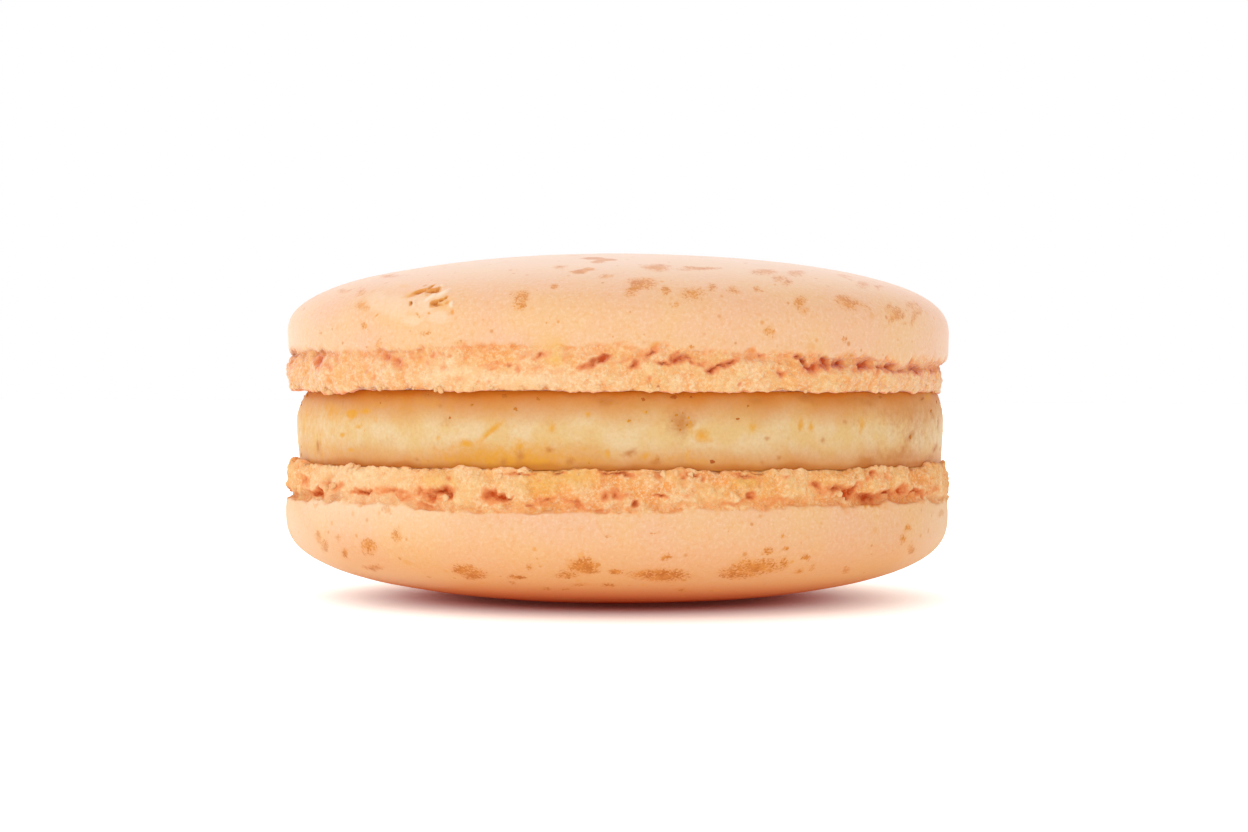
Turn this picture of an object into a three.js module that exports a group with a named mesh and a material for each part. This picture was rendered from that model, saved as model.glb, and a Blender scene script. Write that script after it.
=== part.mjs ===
// A French macaron: two almond-meringue shells, each a smooth dome over a ruffled foot, pressed on a
// thick disc of buttercream that bulges between them. The lower shell lies dome down, on a small flat spot.
// Millimetres, +Z up, origin at the middle of that flat spot.
import * as THREE from "three";

// Driving dimensions.
const SHELL_DIAMETER = 45; // across the dome's rim
const SHELL_HEIGHT = 9.25; // of one shell, from its flat underside to the top of its dome
const FILLING_THICKNESS = 4.875;
const FILLING_DIAMETER = 44; // at the fullest part of its bulge
const FILLING_INSET = 0.95; // how far the bulge draws in where it meets a shell
const REST_SPOT_RADIUS = 5; // the flat that the lower dome stands on

// The edge of a shell: the foot that rises as it bakes, the crevice over it, and the dome's lip over that.
const FOOT_UNDERSIDE_INSET = 1.1; // from the rim's radius in to the flat underside's edge
const FOOT_FACE_INSET = 0.3; // from the rim's radius in to the foot's fullest part
const FOOT_SHOULDER_INSET = 0.4; // from the rim's radius in to where the foot turns in to the crevice
const CREVICE_INSET = 0.95; // from the rim's radius in to the bottom of the crevice
const LIP_INSET = 0.35; // from the rim's radius in to the dome's lower lip
const LIP_SHARE = 0.35; // of the way up from the crevice to the rim

// What differs between the two shells. Heights are from a shell's flat underside. The dome's outline is
// (r / rim radius)^2 + (z / dome rise)^fullness = 1. A wave round the edge has its cycles per turn, its
// amplitude in mm and its phase in radians.
const UPPER_SHELL = {
  creviceHeight: 2.45,
  rimHeight: 3.775, // of the dome's widest line
  fullness: 2.6,
  flatRadius: 0, // of the flat in the middle of the dome
  footRuffle: [
    { cycles: 9, amplitude: 0.09, phase: 0.6 },
    { cycles: 17, amplitude: 0.11, phase: 2.9 },
    { cycles: 26, amplitude: 0.12, phase: 4.4 },
    { cycles: 37, amplitude: 0.1, phase: 1.7 },
  ],
  creviceRise: [
    { cycles: 1, amplitude: 0.26, phase: 3.5 },
    { cycles: 2, amplitude: 0.16, phase: 3.9 },
    { cycles: 8, amplitude: 0.08, phase: 1.1 },
    { cycles: 21, amplitude: 0.1, phase: 3.3 },
  ],
};
const LOWER_SHELL = {
  creviceHeight: 2.55,
  rimHeight: 3.1,
  fullness: 3,
  flatRadius: REST_SPOT_RADIUS,
  footRuffle: [
    { cycles: 11, amplitude: 0.12, phase: 5.1 },
    { cycles: 19, amplitude: 0.13, phase: 0.9 },
    { cycles: 29, amplitude: 0.12, phase: 3.6 },
    { cycles: 41, amplitude: 0.08, phase: 2.2 },
  ],
  creviceRise: [
    { cycles: 2, amplitude: 0.12, phase: 0.4 },
    { cycles: 7, amplitude: 0.12, phase: 5.6 },
    { cycles: 24, amplitude: 0.13, phase: 2.1 },
  ],
};

// Waves that both shells' rims have, and the filling's own.
const RIM_OUT_OF_ROUND = [
  { cycles: 2, amplitude: 0.06, phase: 0.8 },
  { cycles: 5, amplitude: 0.05, phase: 3.9 },
];
const BULGE_UNEVENNESS = [
  { cycles: 3, amplitude: 0.1, phase: 2.5 },
  { cycles: 8, amplitude: 0.07, phase: 0.2 },
  { cycles: 14, amplitude: 0.05, phase: 4.0 },
];
const UNDERSIDE_RUFFLE_SHARE = 0.6; // how much of the foot's ruffle its underside has
const EDGE_BULGE_SHARE = 0.3; // how much of its unevenness the filling has where it meets a shell

// Facets.
const SHELL_SEGMENTS = 128; // round a shell
const FILLING_SEGMENTS = 96;
const DOME_STEPS = 9;
const BULGE_STEPS = 7;
const ON_AXIS = 1e-4; // a point nearer the axis or the underside than this is on it

const RIM_RADIUS = SHELL_DIAMETER / 2;

const waveSum = (waves, azimuth) =>
  waves.reduce((sum, wave) => sum + wave.amplitude * Math.cos(wave.cycles * azimuth + wave.phase), 0);

// A bump that is 1 at the middle of a span and 0 at both its ends.
const hump = (value, low, high) => {
  const share = THREE.MathUtils.clamp((value - low) / (high - low), 0, 1);
  return Math.sin(Math.PI * share);
};

// The height of the dome's lower lip, between the crevice and the rim.
const lipHeight = (shell) => THREE.MathUtils.lerp(shell.creviceHeight, shell.rimHeight, LIP_SHARE);

// Half the outline of a shell's edge, from the middle of its underside out round the foot to the rim.
function edgeOutline(shell) {
  const foot = shell.creviceHeight;
  const pullIn = (FOOT_UNDERSIDE_INSET + FOOT_FACE_INSET) / 2;
  return [
    new THREE.Vector2(0, 0),
    new THREE.Vector2(RIM_RADIUS - FOOT_UNDERSIDE_INSET, 0),
    new THREE.Vector2(RIM_RADIUS - pullIn, foot / 8),
    new THREE.Vector2(RIM_RADIUS - FOOT_FACE_INSET, foot / 2),
    new THREE.Vector2(RIM_RADIUS - FOOT_SHOULDER_INSET, (foot * 4) / 5),
    new THREE.Vector2(RIM_RADIUS - CREVICE_INSET, foot),
    new THREE.Vector2(RIM_RADIUS - LIP_INSET, lipHeight(shell)),
    new THREE.Vector2(RIM_RADIUS, shell.rimHeight),
  ];
}

// Half the outline of a dome, from just inside the rim to its middle. It stops where it is as narrow as
// the flat spot, and is stretched a little so that the flat is still a whole shell's height up.
function domeOutline(shell) {
  const outline = [];
  const lastAngle = Math.acos(shell.flatRadius / RIM_RADIUS);
  const power = 2 / shell.fullness;
  const fullRise = (SHELL_HEIGHT - shell.rimHeight) / Math.pow(Math.sin(lastAngle), power);
  for (let step = 1; step < DOME_STEPS; step++) {
    const angle = (lastAngle * step) / DOME_STEPS;
    const height = shell.rimHeight + fullRise * Math.pow(Math.sin(angle), power);
    outline.push(new THREE.Vector2(RIM_RADIUS * Math.cos(angle), height));
  }
  if (shell.flatRadius > 0) outline.push(new THREE.Vector2(shell.flatRadius, SHELL_HEIGHT));
  outline.push(new THREE.Vector2(0, SHELL_HEIGHT));
  return outline;
}

// Turns half an outline round Z and moves each point off the axis, given its azimuth, radius and height.
function turnedAndMoved(outline, segments, move) {
  const geometry = new THREE.LatheGeometry(outline, segments);
  geometry.rotateX(Math.PI / 2);
  const position = geometry.attributes.position;
  for (let index = 0; index < position.count; index++) {
    const radius = Math.hypot(position.getX(index), position.getY(index));
    if (radius < ON_AXIS) continue;
    const azimuth = Math.atan2(position.getY(index), position.getX(index));
    const moved = move(azimuth, radius, position.getZ(index));
    position.setXYZ(index, moved.radius * Math.cos(azimuth), moved.radius * Math.sin(azimuth), moved.height);
  }
  geometry.computeVertexNormals();
  return geometry;
}

// A shell with its underside at z = 0 and its dome up. The foot is ruffled, and the crevice over it wanders.
function shellGeometry(shell) {
  const outline = [...edgeOutline(shell), ...domeOutline(shell)];
  const underside = RIM_RADIUS - FOOT_UNDERSIDE_INSET;
  return turnedAndMoved(outline, SHELL_SEGMENTS, (azimuth, radius, height) => {
    const outerShare = THREE.MathUtils.smoothstep(radius, REST_SPOT_RADIUS, underside);
    const ruffleShare =
      height < ON_AXIS ? UNDERSIDE_RUFFLE_SHARE : hump(height, -shell.creviceHeight, lipHeight(shell));
    const outOfRound = outerShare * waveSum(RIM_OUT_OF_ROUND, azimuth);
    const ruffle = outerShare * ruffleShare * waveSum(shell.footRuffle, azimuth);
    const wanderShare = hump(height, shell.creviceHeight / 3, shell.rimHeight);
    return {
      radius: radius + outOfRound + ruffle,
      height: height + wanderShare * waveSum(shell.creviceRise, azimuth),
    };
  });
}

// The buttercream: flat where it meets a shell, with a rounded side that bulges unevenly.
function fillingGeometry() {
  const outline = [new THREE.Vector2(0, 0)];
  for (let step = 0; step <= BULGE_STEPS; step++) {
    const angle = Math.PI * (step / BULGE_STEPS - 0.5);
    const radius = FILLING_DIAMETER / 2 - FILLING_INSET * (1 - Math.sqrt(Math.cos(angle)));
    outline.push(new THREE.Vector2(radius, FILLING_THICKNESS * (step / BULGE_STEPS)));
  }
  outline.push(new THREE.Vector2(0, FILLING_THICKNESS));
  return turnedAndMoved(outline, FILLING_SEGMENTS, (azimuth, radius, height) => {
    const bulgeShare = THREE.MathUtils.lerp(EDGE_BULGE_SHARE, 1, hump(height, 0, FILLING_THICKNESS));
    return { radius: radius + bulgeShare * waveSum(BULGE_UNEVENNESS, azimuth), height };
  });
}

const bakedShell = new THREE.MeshStandardMaterial({ color: 0xf6c49a, roughness: 0.75, metalness: 0 });
const buttercream = new THREE.MeshStandardMaterial({ color: 0xe9c386, roughness: 0.5, metalness: 0 });

function namedMesh(name, geometry, material) {
  const mesh = new THREE.Mesh(geometry, material);
  mesh.name = name;
  return mesh;
}

const shellBottom = namedMesh("shell_bottom", shellGeometry(LOWER_SHELL), bakedShell);
shellBottom.rotation.x = Math.PI;
shellBottom.position.z = SHELL_HEIGHT;

const filling = namedMesh("filling", fillingGeometry(), buttercream);
filling.position.z = SHELL_HEIGHT;

const shellTop = namedMesh("shell_top", shellGeometry(UPPER_SHELL), bakedShell);
shellTop.position.z = SHELL_HEIGHT + FILLING_THICKNESS;

const macaron = new THREE.Group();
macaron.add(shellBottom, filling, shellTop);

export default macaron;
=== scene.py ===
# A French macaron on a white studio floor: two baked almond shells with ruffled feet, and the buttercream
# between them. Everything is in metres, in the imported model's frame: +Z up, resting at z = 0, and the
# camera looks along +Y.
import itertools
import math

import bmesh
import bpy
import numpy as np
from mathutils import Euler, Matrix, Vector
from mathutils.bvhtree import BVHTree


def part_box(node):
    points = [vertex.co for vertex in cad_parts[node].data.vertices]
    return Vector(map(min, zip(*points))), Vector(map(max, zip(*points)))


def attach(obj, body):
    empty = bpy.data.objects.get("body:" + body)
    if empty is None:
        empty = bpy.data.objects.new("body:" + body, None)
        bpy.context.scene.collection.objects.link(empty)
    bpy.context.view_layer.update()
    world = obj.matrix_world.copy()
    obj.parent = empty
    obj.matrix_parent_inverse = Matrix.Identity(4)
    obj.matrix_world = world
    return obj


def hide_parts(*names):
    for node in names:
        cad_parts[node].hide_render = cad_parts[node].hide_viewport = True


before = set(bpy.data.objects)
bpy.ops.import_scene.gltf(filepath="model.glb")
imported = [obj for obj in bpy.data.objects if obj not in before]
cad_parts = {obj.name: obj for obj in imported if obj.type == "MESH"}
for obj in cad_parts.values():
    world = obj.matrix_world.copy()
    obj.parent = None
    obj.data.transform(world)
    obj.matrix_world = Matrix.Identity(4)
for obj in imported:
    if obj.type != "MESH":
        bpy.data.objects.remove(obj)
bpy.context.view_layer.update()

MM = 0.001
FULL_TURN = 2 * math.pi

# ---------------------------------------------------------------------------------------------------
# Sizes, all worked out from the frame.

LOWER_LOW, LOWER_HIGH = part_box("shell_bottom")
FILLING_LOW, FILLING_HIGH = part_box("filling")
UPPER_LOW, UPPER_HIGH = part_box("shell_top")

RIM_RADIUS = (UPPER_HIGH.x - UPPER_LOW.x + UPPER_HIGH.y - UPPER_LOW.y) / 4
SHELL_HEIGHT = UPPER_HIGH.z - UPPER_LOW.z
FILLING_RADIUS = (FILLING_HIGH.x - FILLING_LOW.x) / 2
FILLING_THICKNESS = FILLING_HIGH.z - FILLING_LOW.z

# ---------------------------------------------------------------------------------------------------
# The camera, found by fitting the macaron's outline to the photograph.

PHOTO_COLUMNS, PHOTO_ROWS = 1248, 832
SENSOR_WIDTH = 36.0
LENS = 75.6
EYE_DISTANCE = 180 * MM  # from the macaron's axis
EYE_HEIGHT = 14.1 * MM
PITCH_DOWN = math.radians(0.546)
YAW_RIGHT = math.radians(0.122)
ROLL = math.radians(0.23)


def add_camera():
    data = bpy.data.cameras.new("camera")
    data.sensor_width = SENSOR_WIDTH
    data.lens = LENS
    data.clip_start = 10 * MM
    data.clip_end = 20
    camera = bpy.data.objects.new("camera", data)
    camera.location = (0, -EYE_DISTANCE, EYE_HEIGHT)
    aim = Euler((math.pi / 2 - PITCH_DOWN, 0, -YAW_RIGHT)).to_matrix()
    camera.rotation_euler = (aim @ Euler((0, 0, ROLL)).to_matrix()).to_euler()
    bpy.context.scene.collection.objects.link(camera)
    bpy.context.scene.camera = camera
    return camera


def photo_rays(camera, columns, rows):
    """The directions in which the camera sees these pixels of the photograph, as rows of unit vectors."""
    across = (np.asarray(columns, float) - PHOTO_COLUMNS / 2) / PHOTO_COLUMNS * SENSOR_WIDTH
    up = (PHOTO_ROWS / 2 - np.asarray(rows, float)) / PHOTO_COLUMNS * SENSOR_WIDTH
    local = np.stack([across, up, np.full_like(across, -LENS)], axis=-1)
    world = local @ np.array(camera.rotation_euler.to_matrix()).T
    return world / np.linalg.norm(world, axis=-1, keepdims=True)


# ---------------------------------------------------------------------------------------------------
# Noise, as functions of points in space, so that it has no seam round the macaron.

def lattice(cells, seed):
    """A random number from 0 to 1 for each whole-number cell."""
    x, y, z = (cells[..., axis].astype(np.int64).astype(np.uint32) for axis in range(3))
    key = x * np.uint32(374761393) + y * np.uint32(668265263) + z * np.uint32(1440662683)
    key = key + np.uint32((seed * 974634777 + 12345) % 2**32)
    key = (key ^ (key >> np.uint32(15))) * np.uint32(2246822519)
    key = (key ^ (key >> np.uint32(13))) * np.uint32(3266489917)
    key = key ^ (key >> np.uint32(16))
    return key.astype(np.float64) / 2**32


def smooth_noise(points, size, seed):
    """Soft lumps about one size across, from -1 to 1."""
    scaled = points / size
    corner = np.floor(scaled)
    share = scaled - corner
    share = share * share * share * (share * (share * 6 - 15) + 10)
    total = np.zeros(len(points))
    for dx, dy, dz in itertools.product((0, 1), repeat=3):
        weight = (
            (share[:, 0] if dx else 1 - share[:, 0])
            * (share[:, 1] if dy else 1 - share[:, 1])
            * (share[:, 2] if dz else 1 - share[:, 2])
        )
        total += weight * lattice(corner + (dx, dy, dz), seed)
    return 2 * total - 1


NOISE_LAYERS = 3


def layered_noise(points, size, seed):
    """Soft lumps with finer ones on them, each layer half the size and half the height of the last."""
    total = np.zeros(len(points))
    for layer in range(NOISE_LAYERS):
        total += 0.5**layer * smooth_noise(points, size * 0.5**layer, seed + 17 * layer)
    return total / (2 - 2 * 0.5**NOISE_LAYERS)


def ragged(points, reach, size, seed):
    """The points moved about by soft noise, so that a shape looked up at them comes out ragged."""
    return points + reach * np.stack([layered_noise(points, size, seed + axis) for axis in range(3)], -1)


def cell_noise(points, size, seed):
    """For each point the distance, in sizes, to the nearest of a scatter of seeds one size apart, and that
    seed's own random number."""
    scaled = points / size
    home = np.floor(scaled)
    nearest = np.full(len(points), math.inf)
    number = np.zeros(len(points))
    for offset in itertools.product((-1, 0, 1), repeat=3):
        cell = home + offset
        spot = cell + np.stack([lattice(cell, seed + axis) for axis in range(3)], axis=-1)
        distance = np.linalg.norm(scaled - spot, axis=-1)
        number = np.where(distance < nearest, lattice(cell, seed + 3), number)
        nearest = np.minimum(nearest, distance)
    return nearest, number


def smooth_step(low, high, values):
    """0 where the values are low, 1 where they are high, and smooth between."""
    share = np.clip((values - low) / (high - low), 0, 1)
    return share * share * (3 - 2 * share)


def periodic(azimuth, stations):
    """A value round the macaron, smoothly joined between stations of (azimuth in degrees, value)."""
    degrees, values = np.array(sorted(stations)).T
    degrees = np.concatenate([degrees - 360, degrees, degrees + 360])
    values = np.tile(values, 3)
    here = (np.degrees(azimuth) + 180) % 360 - 180
    after = np.clip(np.searchsorted(degrees, here), 1, len(degrees) - 1)
    share = smooth_step(degrees[after - 1], degrees[after], here)
    return values[after - 1] * (1 - share) + values[after] * share


def around(azimuth, radius, height):
    """Points in space, from their azimuth, their distance to the axis and their height."""
    return np.stack([radius * np.cos(azimuth), radius * np.sin(azimuth), height], -1)


# ---------------------------------------------------------------------------------------------------
# Turned meshes. A row is (along, columns): how far it is along the outline, and how many points it has
# round the axis. Next to each other, rows have the same number, or one has twice the other's. The first
# and the last row are single points on the axis.


def turned_rows(rows):
    """The azimuth and the place along the outline of every vertex, row by row."""
    azimuth = [math.pi / 2 + FULL_TURN * np.arange(columns) / columns for _, columns in rows]
    along = [np.full(columns, float(place)) for place, columns in rows]
    return np.concatenate(azimuth), np.concatenate(along)


def turned_faces(rows, flipped):
    """The faces between the rows, facing outwards."""
    faces = []
    first = 0
    for (_, lower), (_, upper) in zip(rows, rows[1:]):
        second = first + lower
        k = np.arange(max(lower, upper))
        after = (k + 1) % len(k)
        if lower == upper:
            faces += np.stack([first + k, first + after, second + after, second + k], -1).tolist()
        elif lower == 1:
            faces += np.stack([np.full_like(k, first), second + after, second + k], -1).tolist()
        elif upper == 1:
            faces += np.stack([first + k, first + after, np.full_like(k, second)], -1).tolist()
        elif lower == 2 * upper:
            faces += halved_faces(first, second, upper, False)
        else:
            faces += halved_faces(second, first, lower, True)
        first = second
    return [face[::-1] for face in faces] if flipped else faces


def halved_faces(wide, narrow, count, backwards):
    """Triangles between a row of 2 x count points and one of count points."""
    k = np.arange(count)
    start, middle, end = wide + 2 * k, wide + 2 * k + 1, wide + (2 * k + 2) % (2 * count)
    here, after = narrow + k, narrow + (k + 1) % count
    faces = [(start, middle, here), (middle, after, here), (middle, end, after)]
    faces = np.concatenate([np.stack(face, -1) for face in faces])
    return (faces[:, ::-1] if backwards else faces).tolist()


def mesh_object(name, points, faces):
    mesh = bpy.data.meshes.new(name)
    mesh.from_pydata(points.tolist() if isinstance(points, np.ndarray) else points, [], faces)
    mesh.polygons.foreach_set("use_smooth", [True] * len(mesh.polygons))
    piece = bpy.data.objects.new(name, mesh)
    bpy.context.scene.collection.objects.link(piece)
    return piece


def store(piece, name, values):
    """Keeps a number for each vertex, for the piece's material to read."""
    layer = piece.data.attributes.new(name, "FLOAT", "POINT")
    layer.data.foreach_set("value", np.asarray(values, np.float32))


# ---------------------------------------------------------------------------------------------------
# Marks: small elliptical places on a surface, such as a toasted patch or a pit. Those that the photograph
# shows are given by its pixels and laid on the smooth surface that the camera sees there. The rest are
# scattered by a seeded random generator on the parts that the photograph doesn't show.


class Mark:
    """A centre, with the half widths across and up the surface as vectors."""

    def __init__(self, centre, across, up, strength=1.0):
        self.centre, self.across, self.up, self.strength = centre, across, up, strength
        self.span = max(np.linalg.norm(across), np.linalg.norm(up))
        out = np.cross(across, up)
        out = out / np.linalg.norm(out) * self.span
        self.inverse = np.linalg.inv(np.stack([across, up, out]))


# How much further a mark may run away from the camera than across the view.
MOST_SLANT = 2.5
DOME_SLANT = 6.0
# How far a mark reaches, in spans, when its half widths aren't at right angles.
SLANTED_SPAN = 1.5


class SeenSurface:
    """A smooth surface, to be looked up by the photograph's pixels."""

    def __init__(self, camera, points, faces):
        self.camera = camera
        self.tree = BVHTree.FromPolygons(points.tolist(), faces)

    def hit(self, column, row):
        (direction,) = photo_rays(self.camera, [column], [row])
        place, _, _, _ = self.tree.ray_cast(self.camera.location, Vector(direction))
        return None if place is None else np.array(place)

    def half_extent(self, centre, column, row, half_columns, half_rows, slant):
        """Half the mark's extent along one of the photograph's directions, as a vector on the surface."""
        for sign in (1, -1):
            end = self.hit(column + sign * half_columns, row + sign * half_rows)
            if end is not None:
                break
        extent = (end - centre) * sign
        away = centre - np.array(self.camera.location)
        away = away / np.linalg.norm(away)
        depth = extent @ away
        flat = extent - depth * away
        longest = slant * np.linalg.norm(flat)
        return flat + np.clip(depth, -longest, longest) * away

    def mark(self, column, row, width, height, turn=0, strength=1.0, slant=MOST_SLANT):
        """A mark of a width and a height in pixels, turned anticlockwise by some degrees."""
        centre = self.hit(column, row)
        if centre is None:
            raise ValueError(f"the photograph's pixel {column}, {row} isn't on this surface")
        cosine, sine = math.cos(math.radians(turn)) / 2, math.sin(math.radians(turn)) / 2
        across = self.half_extent(centre, column, row, width * cosine, -width * sine, slant)
        up = self.half_extent(centre, column, row, -height * sine, -height * cosine, slant)
        return Mark(centre, across, up, strength)

    def marks(self, places, slant=MOST_SLANT):
        return [self.mark(*place, slant=slant) for place in places]


def mark_share(points, marks, reach=2.0):
    """How deep each point is in the marks: a mark's strength at its centre, falling to 0 at reach times its
    half widths. Where marks overlap, the greater counts."""
    share = np.zeros(len(points))
    for mark in marks:
        offset = points - mark.centre
        near = np.flatnonzero(np.abs(offset).max(axis=1) < SLANTED_SPAN * reach * mark.span)
        distance = np.linalg.norm(offset[near] @ mark.inverse, axis=-1)
        share[near] = np.maximum(share[near], mark.strength * np.clip(1 - distance / reach, 0, 1))
    return share


# ---------------------------------------------------------------------------------------------------
# The outline of a shell. Its own height starts at its flat underside and rises towards the dome's top.
# Along the outline, whole numbers are the control points of the edge, from the middle of the underside
# to the rim, and the dome follows as one more unit.

CREVICE = 8
RIM = 11
DOME_TOP = RIM + 1
DENT = 0.15 * MM


class Shell:
    """What one of the two shells is like. Heights are in millimetres over its flat underside."""

    def __init__(self, name, box, flipped, seed, rim_height, fullness, flat_radius):
        self.name = name
        self.low, self.high = box
        self.flipped, self.seed = flipped, seed
        self.rim_height, self.fullness = rim_height * MM, fullness
        self.flat_radius = flat_radius * MM

    def edge(self, seam, face_inset, groove_depth, roughness, raggedness, spread=0.0):
        """Round the edge, as stations of (azimuth in degrees, value): the height of the seam over the
        foot, how far the foot's face is inside the rim, how deep the groove at the seam is, all in
        millimetres, and how rough the crumb is. raggedness, in millimetres, is the underside's edge's, and
        spread is how far the rim is outside the other shell's."""
        self.seam, self.face_inset, self.groove_depth = seam, face_inset, groove_depth
        self.roughness, self.raggedness, self.spread = roughness, raggedness * MM, spread * MM
        return self

    def dent(self, azimuth, along):
        """The upper dome's left shoulder is a little lower than the right one."""
        if self.flipped:
            return 0.0
        on_shoulder = smooth_step(RIM, RIM + 0.25, along) * smooth_step(DOME_TOP, RIM + 0.45, along)
        return DENT * on_shoulder * np.maximum(-np.cos(azimuth), 0) ** 2

    def world(self, azimuth, radius, height):
        """Points in the frame, from an azimuth, a radius and a height over the shell's underside."""
        level = self.high.z - height if self.flipped else self.low.z + height
        return around(azimuth, radius, level)


UPPER = Shell(
    "shell_top",
    (UPPER_LOW, UPPER_HIGH),
    flipped=False,
    seed=100,
    rim_height=3.775,
    fullness=2.6,
    flat_radius=0,
).edge(
    seam=[
        (-173, 2.40), (-150, 2.34), (-130, 2.42), (-114, 2.62), (-93, 2.60), (-80, 2.42), (-68, 2.28),
        (-58, 2.06), (-46, 1.93), (-34, 1.66), (-16, 2.0), (10, 2.25), (40, 2.5), (70, 2.35), (105, 2.2),
        (140, 2.45),
    ],
    face_inset=[(-175, -0.02), (-140, 0.05), (-100, 0.12), (-60, 0.16), (-8, 0.40), (60, 0.15), (120, 0.1)],
    groove_depth=[
        (-175, 0.45), (-150, 0.25), (-138, 0.05), (-128, 0.10), (-115, 0.0), (-95, 0.0), (-84, 0.10),
        (-66, 0.15), (-56, 0.25), (-40, 0.30), (-16, 0.20), (20, 0.0), (60, 0.4), (90, 0.05), (140, 0.3),
        (165, 0.45),
    ],
    roughness=[(-175, 1.2), (-130, 1.1), (-108, 0.75), (-60, 0.7), (-10, 0.9), (60, 1.1), (120, 0.8)],
    raggedness=0.08,
)
LOWER = Shell(
    "shell_bottom",
    (LOWER_LOW, LOWER_HIGH),
    flipped=True,
    seed=500,
    rim_height=3.1,
    fullness=3.0,
    flat_radius=5,
).edge(
    seam=[
        (-173, 2.38), (-140, 2.08), (-127, 2.16), (-120, 2.40), (-99, 2.42), (-77, 2.28), (-60, 2.12),
        (-36, 2.08), (-16, 2.3), (15, 2.4), (45, 2.15), (80, 2.35), (120, 2.5), (150, 2.25),
    ],
    face_inset=[(-175, 0.10), (-130, 0.12), (-90, 0.15), (-50, 0.15), (-5, 0.05), (60, 0.2), (120, 0.1)],
    groove_depth=[
        (-173, 0.40), (-150, 0.25), (-130, 0.12), (-116, 0.10), (-100, 0.05), (-85, 0.0), (-68, 0.0),
        (-55, 0.20), (-40, 0.30), (-20, 0.18), (20, 0.05), (60, 0.4), (100, 0.05), (140, 0.35),
    ],
    roughness=[(-175, 1.2), (-100, 1.25), (-60, 1.0), (-10, 1.15), (60, 1.0), (120, 1.2)],
    raggedness=0.18,
    spread=0.12,
)

# How much the edge wavers round the macaron. Those of the groove and the face are in millimetres.
RIM_WAVER, SEAM_WAVER, RIM_HEIGHT_WAVER = 0.12 * MM, 0.15 * MM, 0.05 * MM
GROOVE_WAVER, FACE_WAVER = 0.12, 0.08
RIM_INSET = 0.04 * MM  # how far the mean rim is inside the frame's box, before its spread


def ring_points(radius, azimuth):
    """Points round the axis at one level, for noise that only varies round the macaron."""
    return around(azimuth, radius, np.zeros_like(azimuth))


def edge_controls(shell, azimuth):
    """The radius and the height of each control point of the edge, at each azimuth."""
    ring = ring_points(RIM_RADIUS, azimuth)
    rim = RIM_RADIUS + RIM_WAVER * smooth_noise(ring, 14 * MM, shell.seed) - RIM_INSET + shell.spread
    seam = periodic(azimuth, shell.seam) * MM + SEAM_WAVER * layered_noise(ring, 1.3 * MM, shell.seed + 1)
    unevenness = smooth_noise(ring, 2.5 * MM, shell.seed + 2)
    depth = np.maximum(periodic(azimuth, shell.groove_depth) + GROOVE_WAVER * unevenness, 0.0) * MM
    unevenness = layered_noise(ring, 4 * MM, shell.seed + 3)
    face = rim - (periodic(azimuth, shell.face_inset) + FACE_WAVER * unevenness) * MM
    rim_height = shell.rim_height + RIM_HEIGHT_WAVER * smooth_noise(ring, 9 * MM, shell.seed + 4)
    lip = seam + 0.5 * (rim_height - seam)
    corner = -shell.raggedness * (0.5 + 0.5 * layered_noise(ring, 1.6 * MM, shell.seed + 5))
    zero = np.zeros_like(azimuth)
    controls = [
        (zero, zero),
        (rim - 4.5 * MM, zero),
        (rim - 1.5 * MM, zero),
        (face - 0.34 * MM, corner),
        (face - 0.17 * MM, corner + 0.15 * MM),
        (face - 0.02 * MM, 0.42 * seam),
        (face, 0.70 * seam),
        (face - 0.06 * MM - depth / 2, seam - 0.30 * MM),
        (rim - 0.10 * MM - depth, seam - 0.05 * MM),
        (rim - 0.11 * MM - depth / 5, seam + 0.12 * MM),
        (rim - 0.06 * MM, lip),
        (rim, rim_height),
    ]
    return [np.stack([part[axis] for part in controls]) for axis in (0, 1)]


def through(values, along):
    """A smooth curve through the control values (one row for each control point), read at along."""
    below = np.clip(np.floor(along).astype(int), 0, len(values) - 2)
    share = along - below
    column = np.arange(len(along))
    before = values[np.maximum(below - 1, 0), column]
    start = values[below, column]
    end = values[below + 1, column]
    beyond = values[np.minimum(below + 2, len(values) - 1), column]
    slope_in = (end - before) / 2
    slope_out = (beyond - start) / 2
    square, cube = share**2, share**3
    return (
        (2 * cube - 3 * square + 1) * start
        + (cube - 2 * square + share) * slope_in
        + (3 * square - 2 * cube) * end
        + (cube - square) * slope_out
    )


def shell_outline(shell, azimuth, along):
    """The radius and the height of smooth points of a shell."""
    radii, heights = edge_controls(shell, azimuth)
    radius = through(radii, np.minimum(along, RIM))
    height = through(heights, np.minimum(along, RIM))
    angle = np.clip(along - RIM, 0, 1) * math.pi / 2
    power = 2 / shell.fullness
    flat_share = math.sqrt(1 - (shell.flat_radius / RIM_RADIUS) ** 2) ** power
    full_rise = (SHELL_HEIGHT - heights[RIM]) / flat_share
    dome_height = np.minimum(heights[RIM] + full_rise * np.sin(angle) ** power, SHELL_HEIGHT)
    on_dome = along > RIM
    radius = np.where(on_dome, radii[RIM] * np.cos(angle), radius)
    return radius, np.where(on_dome, dome_height, height)


def outward(shell, azimuth, along):
    """Unit vectors that point out of the smooth surface, as (outwards from the axis, up the shell)."""
    step = 0.02
    before = shell_outline(shell, azimuth, np.clip(along - step, 0, DOME_TOP - 0.001))
    after = shell_outline(shell, azimuth, np.clip(along + step, 0.001, DOME_TOP))
    run, rise = after[0] - before[0], after[1] - before[1]
    length = np.maximum(np.hypot(run, rise), 1e-9)
    return rise / length, -run / length


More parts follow.
